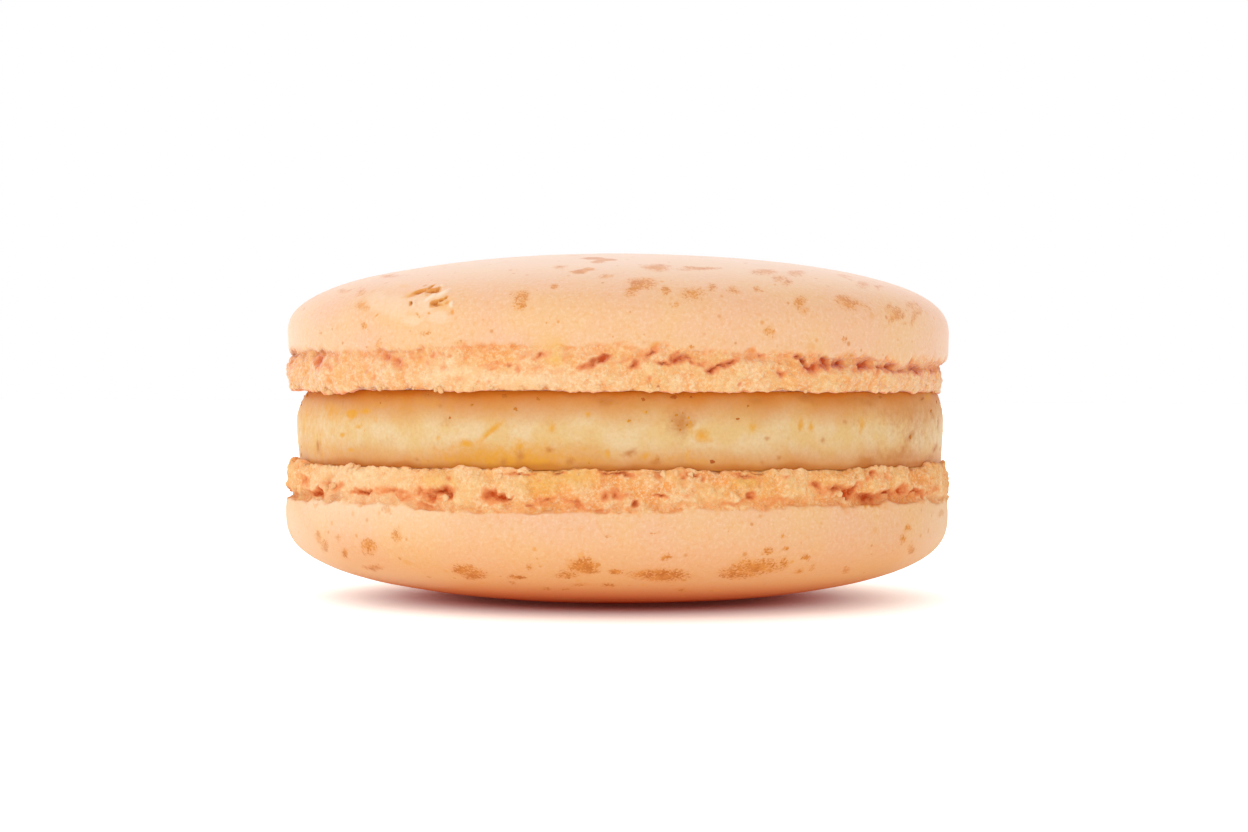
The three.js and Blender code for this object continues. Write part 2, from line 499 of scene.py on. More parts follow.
def dome_steps(shell, spacings):
    """Places along the dome, each one spacing (in metres) further from the rim than the last."""
    angle = np.linspace(0, 1, 4001)
    sine = np.sin(angle * math.pi / 2)
    rise = (SHELL_HEIGHT - shell.rim_height) * sine ** (2 / shell.fullness)
    radius = RIM_RADIUS * np.cos(angle * math.pi / 2)
    length = np.concatenate([[0], np.cumsum(np.hypot(np.diff(rise), np.diff(radius)))])
    return RIM + np.interp(np.cumsum(spacings), length, angle)


EDGE_COLUMNS = 1280  # round the foot, one point to about 0.11 mm
# From one place along the outline to the next, and how many rows it takes.
EDGE_ROWS = [(2, 3, 5), (3, 4, 5), (4, 5, 9), (5, 6, 7), (6, 7, 6), (7, 8, 5), (8, 9, 4), (9, 10, 4)]


def shell_rows(shell):
    half, quarter = EDGE_COLUMNS // 2, EDGE_COLUMNS // 4
    rows = [(0, 1), (0.35, quarter // 4), (0.6, quarter // 2), (0.8, quarter), (1, half), (1.5, half)]
    rows.append((2, EDGE_COLUMNS))
    for start, end, count in EDGE_ROWS:
        rows += [(start + (end - start) * (k + 1) / count, EDGE_COLUMNS) for k in range(count)]
    rows += [(10.35, half), (10.7, half), (RIM, half)]
    near = [0.15 * MM] * 6 + [0.24 * MM] * 16
    middle = [0.34 * MM] * 20
    inner = [0.6 * MM] * 11
    places = dome_steps(shell, near + middle + inner)
    columns = [half] * len(near) + [quarter] * len(middle) + [quarter // 2] * len(inner)
    rows += list(zip(places, columns))
    left = DOME_TOP - places[-1]
    rows += [(places[-1] + left / 2, quarter // 4), (places[-1] + left * 0.8, quarter // 8), (DOME_TOP, 1)]
    return rows


# ---------------------------------------------------------------------------------------------------
# What the photograph shows on the shells, as (column, row, width, height) in its pixels. For some the
# turn in degrees anticlockwise and the strength follow.

UPPER_TOASTED = [
    (521, 295, 16, 10), (518, 305, 11, 10), (641, 283, 25, 9), (634, 289, 16, 6, 20),
    (592, 258, 12, 3, 0, 2.6), (605, 259.5, 13, 3, 0, 2.6), (598, 262, 12, 2.5, 0, 1.6),
    (578, 272.5, 9, 3, 0, 2.6), (588, 270, 10, 2, 0, 2.0), (561, 267, 9, 4), (556, 286, 8, 5),
    (605, 276, 12, 4), (657, 267, 20, 6, 0, 1.3), (665, 290, 9, 7), (694, 293, 22, 11, 0, 0.9),
    (711, 287, 9, 7), (700, 268, 30, 3, 0, 1.4), (733, 290, 9, 6), (759, 289, 7, 5), (764, 272, 20, 5),
    (780, 278, 11, 5), (789, 282, 9, 6), (796, 273, 18, 5), (800, 301, 11, 9), (805, 309, 8, 8, -45),
    (852, 304, 26, 9, -15), (845, 299, 14, 6), (864, 284, 12, 5), (880, 287, 8, 4),
    (889, 307, 7, 8, 0, 1.3), (896, 314, 8, 12, -40, 1.3), (905, 323, 6, 6), (912, 305, 9, 8),
    (918, 314, 6, 14, -20), (845, 340, 4, 4), (691, 347, 7, 6), (688, 314, 5, 4), (681, 327, 6, 5),
    (737, 321, 4, 4), (770, 333, 8, 8), (718, 328, 5, 5), (678, 304, 6, 5), (390, 274, 19, 5),
    (343, 289, 7, 4), (361, 290, 9, 5), (362, 305, 12, 9), (364, 327, 5, 8), (321, 333, 4, 4),
    (337, 327, 5, 4), (462, 344, 11, 6), (425, 334, 8, 5), (548, 322, 6, 4), (380, 346, 5, 12),
]
LOWER_TOASTED = [
    (369, 547, 13, 12), (397, 535, 9, 14, 10, 0.8), (318, 538, 5, 9), (324, 547, 6, 10), (345, 553, 7, 6),
    (339, 538, 5, 5), (373, 568, 14, 6), (464, 570, 18, 10), (474, 575, 18, 9), (388, 508, 7, 6),
    (361, 506, 5, 4), (316, 506, 5, 4), (583, 566, 28, 14), (588, 570, 20, 10), (565, 575, 16, 7),
    (618, 573, 13, 5), (517, 577, 13, 4), (527, 567, 6, 5), (512, 583, 5, 3), (581, 585, 19, 3),
    (606, 585, 11, 3), (662, 577, 44, 11), (640, 574, 16, 6), (666, 559, 7, 4), (684, 590, 9, 3),
    (698, 573, 7, 3), (607, 536, 6, 3), (653, 535, 5, 3), (740, 573, 30, 11), (756, 567, 36, 14),
    (767, 551, 9, 5), (783, 540, 5, 4), (787, 551, 6, 4), (783, 564, 9, 7), (808, 558, 7, 5),
    (812, 568, 6, 4), (796, 572, 9, 5), (845, 571, 7, 4), (913, 549, 7, 6), (904, 537, 5, 7),
    (908, 527, 4, 5), (941, 513, 5, 6), (840, 505, 6, 4), (548, 589, 8, 3), (565, 589, 7, 3),
]

# Pits in a foot, mostly along the crevice. The last of the upper ones is the pinhole in the blister.
UPPER_PITS = [
    (318, 361, 8, 12, -20, 0.9), (329, 366, 10, 5, 0, 0.4), (338, 358, 10, 6, -20, 0.4),
    (387, 358, 9, 7, -40, 0.7), (398, 362, 13, 8, -10, 0.6), (414, 356, 10, 4, 0, 0.35),
    (434, 355, 6, 6, 0, 0.5), (428, 362, 10, 7, 40, 0.4), (443, 368, 6, 5, 0, 0.4),
    (461, 346, 9, 7, 0, 0.35), (451, 356, 4, 3, 0, 0.5), (464, 358, 5, 3, 0, 0.4),
    (477, 358, 12, 5, 0, 0.3), (490, 366, 16, 4, 5, 0.5), (508, 365, 8, 3, 10, 0.65),
    (518, 369, 5, 7, 0, 0.5), (526, 356, 14, 5, 0, 0.35), (541, 355, 12, 5, 10, 0.65),
    (536, 367, 10, 6, 0, 0.3), (566, 357, 5, 12, -20, 0.4), (557, 370, 14, 5, 0, 0.3),
    (585, 368, 11, 6, 35, 0.7), (594, 363, 12, 6, 38, 0.9), (604, 358, 10, 6, 10, 1.15),
    (619, 361, 14, 4, 10, 0.4), (626, 358, 14, 5, 15, 0.4), (635, 365, 11, 6, 38, 0.85),
    (649, 353, 14, 6, 35, 0.7), (645, 358, 8, 6, 60, 0.45), (664, 364, 14, 5, -5, 0.8),
    (678, 359, 12, 8, 10, 0.9), (687, 358, 10, 5, -30, 0.75), (692, 362, 8, 4, -20, 0.6),
    (702, 364, 12, 4, -15, 0.55), (715, 369, 10, 6, 0, 0.95), (723, 364, 12, 5, 30, 0.85),
    (731, 361, 12, 5, 20, 0.85), (749, 358, 8, 5, 0, 0.35), (760, 356, 7, 5, 0, 0.6),
    (782, 373, 9, 5, 0, 0.7), (799, 357, 6, 5, 0, 0.9), (804, 361, 5, 3, -30, 1.3),
    (813, 369, 13, 7, 0, 1.0), (824, 364, 8, 8, 0, 1.15), (838, 363, 8, 7, 0, 1.1),
    (833, 371, 8, 5, 0, 0.4), (864, 365, 10, 6, 0, 1.15), (861, 369, 14, 5, 0, 0.7),
    (889, 366, 10, 6, 20, 1.1), (881, 369, 10, 6, 0, 0.7), (900, 371, 14, 5, -20, 0.6),
    (914, 369, 9, 7, 0, 0.85), (933, 370, 9, 6, 0, 0.75), (881, 361, 6, 4, 0, 0.35),
    (739, 384, 3, 4, 0, 0.6), (649, 379, 4, 6, 0, 0.5), (658, 387, 3, 6, 0, 0.55),
    (668, 381, 6, 3, 0, 0.35), (683, 376, 5, 4, 0, 0.35), (478, 382, 3, 3, 0, 0.5),
    (489, 382, 3, 3, 0, 0.5), (458, 379, 7, 5, 0, 0.3), (366, 371, 5, 4, 0, 0.4), (351, 381, 6, 4, 0, 0.3),
    (374, 378, 5, 5, 0, 0.35), (410.3, 303.3, 2.8, 2.8, 0, 1.2),
]
LOWER_PITS = [
    (304, 481, 6, 7, 0, 0.7), (316, 492, 14, 5, 0, 1.0), (327, 483, 8, 10, 0, 0.5),
    (337, 487, 7, 7, 0, 0.6), (360, 492, 17, 5, 0, 0.85), (389, 491, 26, 7, -5, 0.65),
    (403, 497, 20, 5, -8, 0.5), (419, 491, 8, 7, 0, 0.7), (431, 496, 12, 7, 0, 0.9),
    (440, 491, 20, 6, 0, 1.0), (449, 495, 7, 7, 0, 0.9), (426, 506, 20, 4, -5, 0.55),
    (450, 479, 3, 4, 0, 0.6), (489, 496, 12, 9, 0, 1.0), (500, 499, 14, 7, 0, 1.0),
    (509, 497, 9, 3, 0, 0.8), (530, 506, 12, 3, -20, 0.65), (547, 499, 22, 4, 18, 0.6),
    (576, 505, 26, 4, -28, 0.6), (597, 511, 14, 3, 0, 0.4), (605, 496, 7, 8, 0, 0.7),
    (616, 495, 12, 6, -15, 0.75), (626, 497, 10, 4, 0, 0.5), (635, 503.5, 5, 5, 0, 0.8),
    (661, 498, 11, 3, 0, 0.75), (694, 489, 8, 6, 0, 0.3), (703, 479, 4, 4, 0, 0.7),
    (658, 476, 6, 7, 0, 0.5), (604, 483, 8, 10, 0, 0.4), (539, 481, 5, 2, 10, 0.5),
    (686, 496, 8, 5, 0, 0.35), (733, 504, 26, 3, 6, 0.5), (751, 498, 9, 6, 20, 1.1),
    (786, 477, 6, 4, 0, 0.5), (761, 481, 7, 5, 0, 0.35), (777, 501, 30, 4, 0, 0.4),
    (819, 486, 12, 5, -25, 0.75), (823, 491, 12, 6, -25, 0.5), (837, 488, 16, 5, 0, 0.75),
    (849, 493, 10, 9, 0, 1.3), (854, 487, 12, 6, 20, 0.8), (870, 498, 16, 6, 0, 0.9),
    (866, 504, 3, 4, 0, 0.8), (840, 504, 7, 4, 0, 0.45), (886, 494, 9, 5, 0, 1.0), (902, 490, 8, 8, 0, 0.8),
    (917, 493, 16, 5, 0, 0.75), (874, 476, 6, 5, 0, 0.9), (869, 478, 4, 6, 0, 0.5),
    (887, 479, 7, 4, 0, 0.5), (934, 488, 8, 6, 0, 0.6), (620, 474.5, 28, 3, 0, 0.8),
    (559, 474.5, 9, 3, 0, 0.7), (693, 474.5, 16, 3, 0, 0.8), (745, 474.5, 22, 3, 0, 0.7),
    (519, 474.5, 26, 2.5, 0, 0.7),
]
# Lumps that stand out of a foot.
UPPER_LUMPS = [
    (295, 378, 20, 22, 0, 0.6), (329, 378, 22, 26, 0, 0.8), (392, 376, 30, 16, 0, 0.4),
    (437, 378, 40, 14, 0, 0.3), (545, 380, 36, 12, 0, 0.3), (608, 377, 22, 12, 30, 0.5),
    (655, 372, 14, 10, 0, 0.4), (700, 377, 40, 12, 0, 0.4), (800, 380, 30, 10, 0, 0.3),
    (850, 378, 30, 16, 0, 0.5), (905, 382, 26, 14, 0, 0.4), (818, 358, 6, 5, 0, 0.4),
]
LOWER_LUMPS = [
    (330, 491, 14, 10, 30, 0.8), (300, 470, 22, 14, 0, 0.6), (350, 473, 30, 14, 0, 0.5),
    (436, 480, 36, 16, 0, 0.6), (478, 484, 20, 16, 0, 0.3), (599, 477, 11, 9, 0, 0.5),
    (585, 496, 34, 12, 0, 0.4), (675, 474, 18, 9, 0, 0.5), (728, 480, 30, 18, 0, 0.5),
    (780, 488, 30, 16, 0, 0.3), (838, 478, 40, 14, 0, 0.6), (839, 494, 7, 6, 0, 0.5),
    (903, 480, 12, 18, 0, 0.6), (930, 472, 14, 18, 0, 0.6), (446, 499, 14, 7, 30, 0.4),
]
UPPER_PALE = [(500, 379, 110, 16), (450, 372, 60, 14)]
# The two tall marks at the lower dome's left and right rims are painted sheen; the first is the foot's paler
# crumb.
LOWER_PALE_AND_PAINTED_SHEEN = [(350, 474, 110, 20), (292, 525, 40, 60, 0, 0.6), (943, 525, 40, 60, 0, 0.6)]
UPPER_ZEST = [
    (552, 341, 26, 12), (555, 360, 14, 10), (411, 294, 18, 6, 15, 1.4), (427, 296, 12, 5, 0, 1.4),
    (443, 304, 16, 9, 20, 1.4), (376, 300, 26, 20, 0, 0.8), (404, 285, 8, 4, 0, 1.2),
    (396, 318, 40, 14, 0, 0.8),
]
LOWER_ZEST = [(541, 484, 36, 18), (578, 477, 36, 16), (436, 480, 30, 14), (745, 482, 20, 8), (327, 478, 8, 8)]

# What build_shell puts on each shell. toasting is how strong its toasted patches are.
UPPER_LOOKS = {
    "toasted": UPPER_TOASTED,
    "toasting": 1.0,
    "pits": UPPER_PITS,
    "lumps": UPPER_LUMPS,
    "zest": UPPER_ZEST,
    "pale": UPPER_PALE,
}
LOWER_LOOKS = {
    "toasted": LOWER_TOASTED,
    "toasting": 1.25,
    "pits": LOWER_PITS,
    "lumps": LOWER_LUMPS,
    "zest": LOWER_ZEST,
    "pale": LOWER_PALE_AND_PAINTED_SHEEN,
}

# The broken blister on the upper dome: all of it, its torn openings and so on.
BLISTER_AREA = (409, 302, 102, 46)
BLISTER_OPENINGS = [
    (420, 290.5, 15, 3.2, 18, 0.85), (432, 290, 13, 4, 6), (431, 286, 8, 2, 30, 0.9),
    (436, 288, 5, 2, 10, 0.8), (434, 303, 9, 5, 35, 0.85), (438, 305.5, 9, 2.5, 0, 0.7),
    (441, 300, 8, 3.5, 25, 0.8), (446, 297, 6, 2.5, 40, 0.7),
]
BLISTER_SHALLOWS = [
    (414, 294, 17, 4, 16, 0.9), (426, 294.5, 10, 4, 0, 0.6), (451, 312, 6, 11, -28, 0.75),
    (416, 314, 5, 3, -20, 0.8), (419, 316.5, 3, 4, 0, 0.8), (362, 304, 10, 5, 42, 0.9),
    (358, 309, 6, 4, 60, 0.6), (376, 316, 6, 3, 30, 0.8), (365, 326, 3, 6, -20, 0.9),
    (429.5, 313.5, 3, 2, 0), (447, 302, 7, 3, 30, 0.9), (440, 308, 10, 3, 0, 0.5),
]
BLISTER_FLAKES = [
    (430, 298, 14, 4, 32), (442, 293.5, 16, 3.5, 22), (452, 304, 7, 4, 50), (415.5, 302.5, 5, 8, 0, 0.7),
    (441, 286.5, 7, 2, 10, 0.8),
]
BLISTER_PALE = [
    (378, 300, 17, 15, 0), (420, 303, 26, 16, 0), (438, 317, 18, 10, 0), (395, 305, 24, 18, 0),
    (440, 292, 16, 5, 8), (412, 320, 20, 8, 0),
]

# Crumbs that hang or stand out at the feet's edges, as (column, row, width) in pixels.
UPPER_CRUMBS = [
    (331, 391, 9), (325, 389, 6), (380, 389, 5), (441, 390, 8), (436, 389, 5), (799, 392, 8), (805, 391, 5),
    (317, 390, 5), (658, 389, 4),
]
LOWER_CRUMBS = [
    (328, 489, 8), (334, 486, 6), (359, 467, 6), (352, 466, 5), (446, 498, 7), (663, 474, 7), (676, 473, 6),
    (840, 494, 7), (843, 499, 5), (690, 474, 7), (500, 476, 6),
]


# ---------------------------------------------------------------------------------------------------
# Building a shell.

# Parts of the outline, each as the place where it isn't there yet and the place where it wholly is.
CRUST = (8.7, 9.5)
SEAM_FROM_BELOW = (5.6, CREVICE)
SEAM_FROM_ABOVE = (10, 8.6)
# The foot's edge towards the filling, which gets painted shade and loses its bump.
UNDERSIDE = (3.8, 2.9)
FOOT = (2.0, 3.2)
DOME = (9, RIM)
TORN_EDGE = (RIM - 0.3, 9.2)
TORN_WAVER = 0.9  # how far the crust's edge and the seam waver along the outline

SKIN_STEP = 0.07 * MM  # how far the crust's torn edge stands proud of the crumb
LUMP_HEIGHT = 0.38 * MM
DOME_UNEVENNESS = 0.035 * MM
PIT_DEPTH = 0.42 * MM
PIT_REACH = 2.4  # in half widths
SMALL_PIT = 0.27 * MM  # pits with smaller half widths than this are bent less, so that they stay whole
# The crumb's heights, in millimetres.
CLUMPS, LUMPS, GRAINS, PORES = 0.28, 0.28, 0.16, 0.12
# And the blister's.
FLAKE_HEIGHT, FOLD_HEIGHT, OPENING_DEPTH, SHALLOW_DEPTH = 0.12, 0.06, 0.24, 0.05
CELL_LEVEL = 0.45  # the distance, in sizes, at which a lump or a grain is level with the outline

# Scattered marks: where along the outline they are, and their half widths.
PIT_PLACES, PIT_WIDTHS = (6.2, 8.6), (0.15 * MM, 0.45 * MM)
TOAST_PLACES, TOAST_WIDTHS = (RIM - 0.1, RIM + 0.9), (0.3 * MM, 0.9 * MM)
SCATTERED_STRENGTHS = (0.4, 1.1)
SCATTERED_HEIGHT = 0.8  # their half height, as a share of the random one
SEEN_FACING = 0.12  # a place at the front that faces the camera by more than this cosine is seen


def scattered_marks(shell, count, places, widths, seed):
    """Marks on the part of a shell that faces away from the camera, at places (a low and a high one)
    along the outline, and with half widths between the two in widths."""
    random = np.random.default_rng(seed)
    marks = []
    while len(marks) < count:
        azimuth = random.uniform(-math.pi, math.pi, 1)
        along = random.uniform(*places, 1)
        radius, height = shell_outline(shell, azimuth, along)
        out, up = outward(shell, azimuth, along)
        centre = shell.world(azimuth, radius, height)[0]
        side = np.array([-math.sin(azimuth[0]), math.cos(azimuth[0]), 0])
        rise = -out[0] if shell.flipped else out[0]
        slope = np.array([-up[0] * math.cos(azimuth[0]), -up[0] * math.sin(azimuth[0]), rise])
        half_width, half_height = random.uniform(*widths, 2)
        turn = random.uniform(0, math.pi)
        strength = random.uniform(*SCATTERED_STRENGTHS)
        normal = np.cross(side, slope)
        to_eye = np.array([0, -EYE_DISTANCE, EYE_HEIGHT]) - centre
        if abs(normal @ to_eye) / np.linalg.norm(to_eye) * np.sign(-centre[1]) > SEEN_FACING:
            continue
        across = half_width * (math.cos(turn) * side + math.sin(turn) * slope)
        upwards = SCATTERED_HEIGHT * half_height * (math.cos(turn) * slope - math.sin(turn) * side)
        marks.append(Mark(centre, across, upwards, strength))
    return marks


def refined(azimuth, along, faces, inside):
    """The same mesh, with the edges of the faces whose corners are all inside cut into three."""
    mesh = bmesh.new()
    corners = [mesh.verts.new((turn, place, 0)) for turn, place in zip(azimuth, along)]
    chosen = set()
    for face in faces:
        made = mesh.faces.new([corners[index] for index in face])
        if all(inside[index] for index in face):
            chosen.update(made.edges)
    bmesh.ops.subdivide_edges(mesh, edges=list(chosen), cuts=2, use_grid_fill=True)
    mesh.verts.index_update()
    azimuth, along, _ = np.array([corner.co for corner in mesh.verts]).T
    faces = [[corner.index for corner in face.verts] for face in mesh.faces]
    mesh.free()
    return azimuth, along, faces


def outline_shares(shell, points, along):
    """Where the crumb, the seam and the underside are; the underside gets painted shade."""
    torn = along + TORN_WAVER * layered_noise(points, 0.9 * MM, shell.seed + 55)
    return {
        "crumb": 1 - smooth_step(*CRUST, torn),
        "seam": smooth_step(*SEAM_FROM_BELOW, torn) * smooth_step(*SEAM_FROM_ABOVE, torn),
        "under": smooth_step(*UNDERSIDE, along),
    }


def crumb_relief(shell, points):
    """How far the spongy crumb stands out of its smooth outline."""
    bent = ragged(points, 0.35 * MM, 1.3 * MM, shell.seed + 60)
    clumps = layered_noise(bent, 2.2 * MM, shell.seed + 40)
    lumps, _ = cell_noise(bent, 1.0 * MM, shell.seed + 10)
    grains, _ = cell_noise(bent, 0.4 * MM, shell.seed + 20)
    pores, number = cell_noise(bent, 0.75 * MM, shell.seed + 30)
    openness = smooth_step(-0.4, 0.4, smooth_noise(points, 2.6 * MM, shell.seed + 45))
    pore = smooth_step(0.36, 0.16, pores) * smooth_step(0.55, 0.70, number) * openness
    raised = CLUMPS * clumps + LUMPS * (CELL_LEVEL - lumps) + GRAINS * (CELL_LEVEL - grains)
    return MM * (raised - PORES * pore)


def shell_relief(shell, azimuth, along, points, shares, lumps):
    """How far the surface stands out of its smooth outline, apart from its pits."""
    relief = crumb_relief(shell, points)
    # Where the crumb's relief is low, for painted shade in its hollows.
    shares["cavity"] = smooth_step(0.16 * MM, -0.20 * MM, relief)
    relief *= periodic(azimuth, shell.roughness) * shares["crumb"] * smooth_step(*FOOT, along)
    relief += LUMP_HEIGHT * smooth_step(0.1, 0.7, lumps)
    relief += DOME_UNEVENNESS * smooth_step(*DOME, along) * layered_noise(points, 4.5 * MM, shell.seed + 50)
    relief += SKIN_STEP * (1 - shares["crumb"]) * smooth_step(*TORN_EDGE, along)
    return relief - shell.dent(azimuth, along)


def pit_share(shell, points, bent, pits):
    """How deep each point is in the pits: the photograph's and twice as many scattered ones."""
    pits = pits + scattered_marks(shell, 2 * len(pits), PIT_PLACES, PIT_WIDTHS, shell.seed + 70)
    small = [pit for pit in pits if pit.span < SMALL_PIT]
    large = [pit for pit in pits if pit.span >= SMALL_PIT]
    barely_bent = ragged(points, 0.1 * MM, 0.3 * MM, shell.seed + 85)
    return np.maximum(mark_share(bent, large, PIT_REACH), mark_share(barely_bent, small, PIT_REACH))


def toast_share(shell, points, patches):
    """How deep each point is in the toasted patches: the photograph's and as many scattered ones."""
    patches = patches + scattered_marks(shell, len(patches), TOAST_PLACES, TOAST_WIDTHS, shell.seed + 90)
    return mark_share(ragged(points, 0.4 * MM, 1.0 * MM, shell.seed + 95), patches)


def blister_relief(points, seen, shares):
    """How far the broken blister stands out of the dome. It also marks its hollows and its pale skin."""
    bent = ragged(points, 0.16 * MM, 0.5 * MM, 701)
    openings, shallows, flakes, pale = (
        mark_share(bent, seen.marks(places))
        for places in (BLISTER_OPENINGS, BLISTER_SHALLOWS, BLISTER_FLAKES, BLISTER_PALE)
    )
    wrinkle = 1 - np.abs(layered_noise(points, 1.0 * MM, 702))
    opening = smooth_step(0.38, 0.66, openings)
    shallow = smooth_step(0.30, 0.75, shallows)
    flake = smooth_step(0.25, 0.75, flakes) * (1 - opening)
    area = smooth_step(0.1, 0.7, pale)
    shares["hollow"] = np.maximum(shares["hollow"], np.maximum(0.9 * opening, 0.5 * shallow))
    shares["hollow"] = np.maximum(shares["hollow"], 0.45 * smooth_step(0.12, 0.42, openings))
    shares["pale"] += np.clip(np.maximum(0.45 * area, 1.1 * flake) - opening - shallow, 0, 1)
    folds = area * FOLD_HEIGHT * (wrinkle - 0.75)
    return MM * (FLAKE_HEIGHT * flake + folds - OPENING_DEPTH * opening - SHALLOW_DEPTH * shallow)


def build_shell(shell, camera, looks, blistered=False):
    rows = shell_rows(shell)
    azimuth, along = turned_rows(rows)
    faces = turned_faces(rows, shell.flipped)
    points = shell.world(azimuth, *shell_outline(shell, azimuth, along))
    seen = SeenSurface(camera, points, faces)
    if blistered:
        inside = mark_share(points, [seen.mark(*BLISTER_AREA)]) > 0.5
        azimuth, along, faces = refined(azimuth, along, faces, inside)

    radius, height = shell_outline(shell, azimuth, along)
    out, up = outward(shell, azimuth, along)
    points = shell.world(azimuth, radius, height)
    bent = ragged(points, 0.36 * MM, 0.55 * MM, shell.seed + 80)
    shares = outline_shares(shell, points, along)
    lumps = mark_share(bent, seen.marks(looks["lumps"]))
    relief = shell_relief(shell, azimuth, along, points, shares, lumps)
    hollow = pit_share(shell, points, bent, seen.marks(looks["pits"]))
    sunk = PIT_DEPTH * hollow * smooth_step(0.25, 0.75, hollow)
    shares["hollow"] = hollow
    shares["toast"] = looks["toasting"] * toast_share(shell, points, seen.marks(looks["toasted"], DOME_SLANT))
    shares["zest"] = mark_share(points, seen.marks(looks["zest"]))
    shares["pale"] = mark_share(points, seen.marks(looks["pale"]))
    if blistered:
        relief += blister_relief(points, seen, shares)

    radius = radius + out * relief - sunk
    height = np.minimum(height + up * relief, SHELL_HEIGHT)
    piece = mesh_object(shell.name + "_visual", shell.world(azimuth, radius, height), faces)
    for name, values in shares.items():
        store(piece, name, values)
    return piece


# ---------------------------------------------------------------------------------------------------
# The filling.

FILLING_COLUMNS = 960
FILLING_ROWS = 64  # up its side
# How far its side draws in where it meets a shell and how far its fullest part stands out, in
# millimetres, as stations of (azimuth in degrees, value).
CREAM_UPPER_INSET = [(-175, 0.85), (-150, 0.6), (-90, 0.45), (-50, 0.45), (-5, 0.45), (50, 0.6), (110, 0.45)]
CREAM_LOWER_INSET = [(-175, 0.20), (-130, 0.1), (-90, 0.05), (-50, 0.05), (-5, 0.15), (50, 0.2), (110, 0.1)]
CREAM_FULLNESS = [(-175, -0.12), (-120, 0.0), (-60, 0.04), (-5, 0.08), (60, -0.02), (120, 0.05)]
CREASE_DEPTH = 0.07  # in millimetres
# Stains and creases that the photograph shows on its side, given like the marks on the shells.
CREAM_YELLOW = [
    (351, 414, 8, 6, 0, 2.4), (365, 411, 12, 5, 0, 1.2), (332, 412, 18, 22, 0, 0.9),
    (306, 428, 56, 60, 0, 0.7), (345, 420, 70, 30, 0, 0.45), (490, 432, 26, 5, 40, 1.2),
    (466, 444, 12, 6, 0, 1.3), (505, 460, 140, 28, 0, 1.0), (500, 464, 40, 10, 0, 0.9), (520, 447, 10, 14),
    (438, 438, 5, 5), (646, 412, 5, 4), (702, 436, 11, 13, 20, 1.15), (704, 439, 14, 5, -10, 0.9),
    (588, 414, 5, 5), (608, 454, 5, 7), (752, 428, 7, 9), (812, 428, 5, 8), (801, 424, 5, 12),
    (862, 426, 5, 14), (690, 427, 6, 10), (928, 396, 10, 10), (304, 427, 5, 7), (307, 415, 6, 7),
    (358, 427, 7, 5), (342, 435, 5, 5), (351, 450, 5, 4), (690, 458, 70, 18, 0, 0.5), (646, 456, 7, 7),
    (400, 402, 110, 14, 0, 0.4), (629, 421, 5, 4), (552, 428, 7, 9),
]
# Brown stains. The last three, broad marks at the right end and along its top and bottom there, are painted
# shade where the light falls off at the right.
CREAM_STAINS_AND_PAINTED_SHADE = [
    (680, 423, 22, 24, 10, 0.95), (686, 424, 8, 16, -25, 0.9), (608, 401, 18, 9), (630, 453, 12, 6, 15),
    (428, 395, 10, 5), (868, 402, 12, 9, -30), (806, 398, 16, 8, -20), (904, 452, 7, 18, -15),
    (550, 450, 8, 5), (318, 447, 4, 14, 10), (756, 400, 12, 7), (910, 437, 7, 18, -25),
    (931, 413, 6, 15, 30), (935, 448, 6, 10, -25), (592, 391, 12, 3), (896, 460, 14, 10), (655, 463, 14, 4),
    (938, 424, 4, 14), (343, 402, 4, 16, 5, 0.6), (930, 459, 16, 8, 20), (868, 460, 20, 8),
    (503, 462, 6, 7), (520, 457, 8, 12), (570, 462, 9, 7), (390, 442, 16, 8, 0, 0.4),
    (360, 444, 10, 6, 0, 0.4), (450, 423, 22, 9, 0, 0.4), (823, 440, 5, 6), (767, 439, 5, 4),
    (845, 422, 4, 4), (922, 399, 6, 10), (880, 397, 6, 5), (779, 458, 4, 4), (762, 463, 5, 4),
    (417, 460, 5, 4), (441, 406, 4, 4), (658, 461, 4, 8), (916, 420, 50, 60, 0, 0.65),
    (900, 457, 40, 16, 0, 0.9), (860, 399, 50, 10, 0, 0.8),
]
CREAM_CREASES = [
    (911, 435, 4, 13, -20), (932, 413, 3, 12, 30), (935, 448, 3, 11, -25), (343, 402, 3, 12, 5, 0.6),
    (318, 447, 3, 12, 10), (862, 424, 3, 9), (800, 426, 3, 10), (658, 461, 3, 8), (929, 461, 12, 3, 20),
    (684, 455, 4, 16, -10), (693, 457, 3, 14, -10), (631, 452, 8, 2, 20),
]


def filling_side(azimuth, level):
    """The radius of the filling's smooth side, at levels from 0, its bottom, to 1, its top."""
    ring = ring_points(FILLING_RADIUS, azimuth)
    side = FILLING_RADIUS + (periodic(azimuth, CREAM_FULLNESS) + 0.06 * smooth_noise(ring, 6 * MM, 900)) * MM
    side -= periodic(azimuth, CREAM_UPPER_INSET) * MM * np.clip((level - 0.58) / 0.42, 0, 1) ** 1.9
    return side - periodic(azimuth, CREAM_LOWER_INSET) * MM * np.clip((0.5 - level) / 0.5, 0, 1) ** 1.3


def filling_rows():
    """From the axis out along its bottom (0 to 1), up its side (1 to 2) and in along its top (2 to 3)."""
    rows = [(0, 1), (0.3, 60), (0.6, 120), (0.8, 240), (0.9, 480), (1, FILLING_COLUMNS)]
    rows += [(1 + (k + 1) / FILLING_ROWS, FILLING_COLUMNS) for k in range(FILLING_ROWS)]
    return rows + [(2.1, 480), (2.2, 240), (2.4, 120), (2.7, 60), (3, 1)]


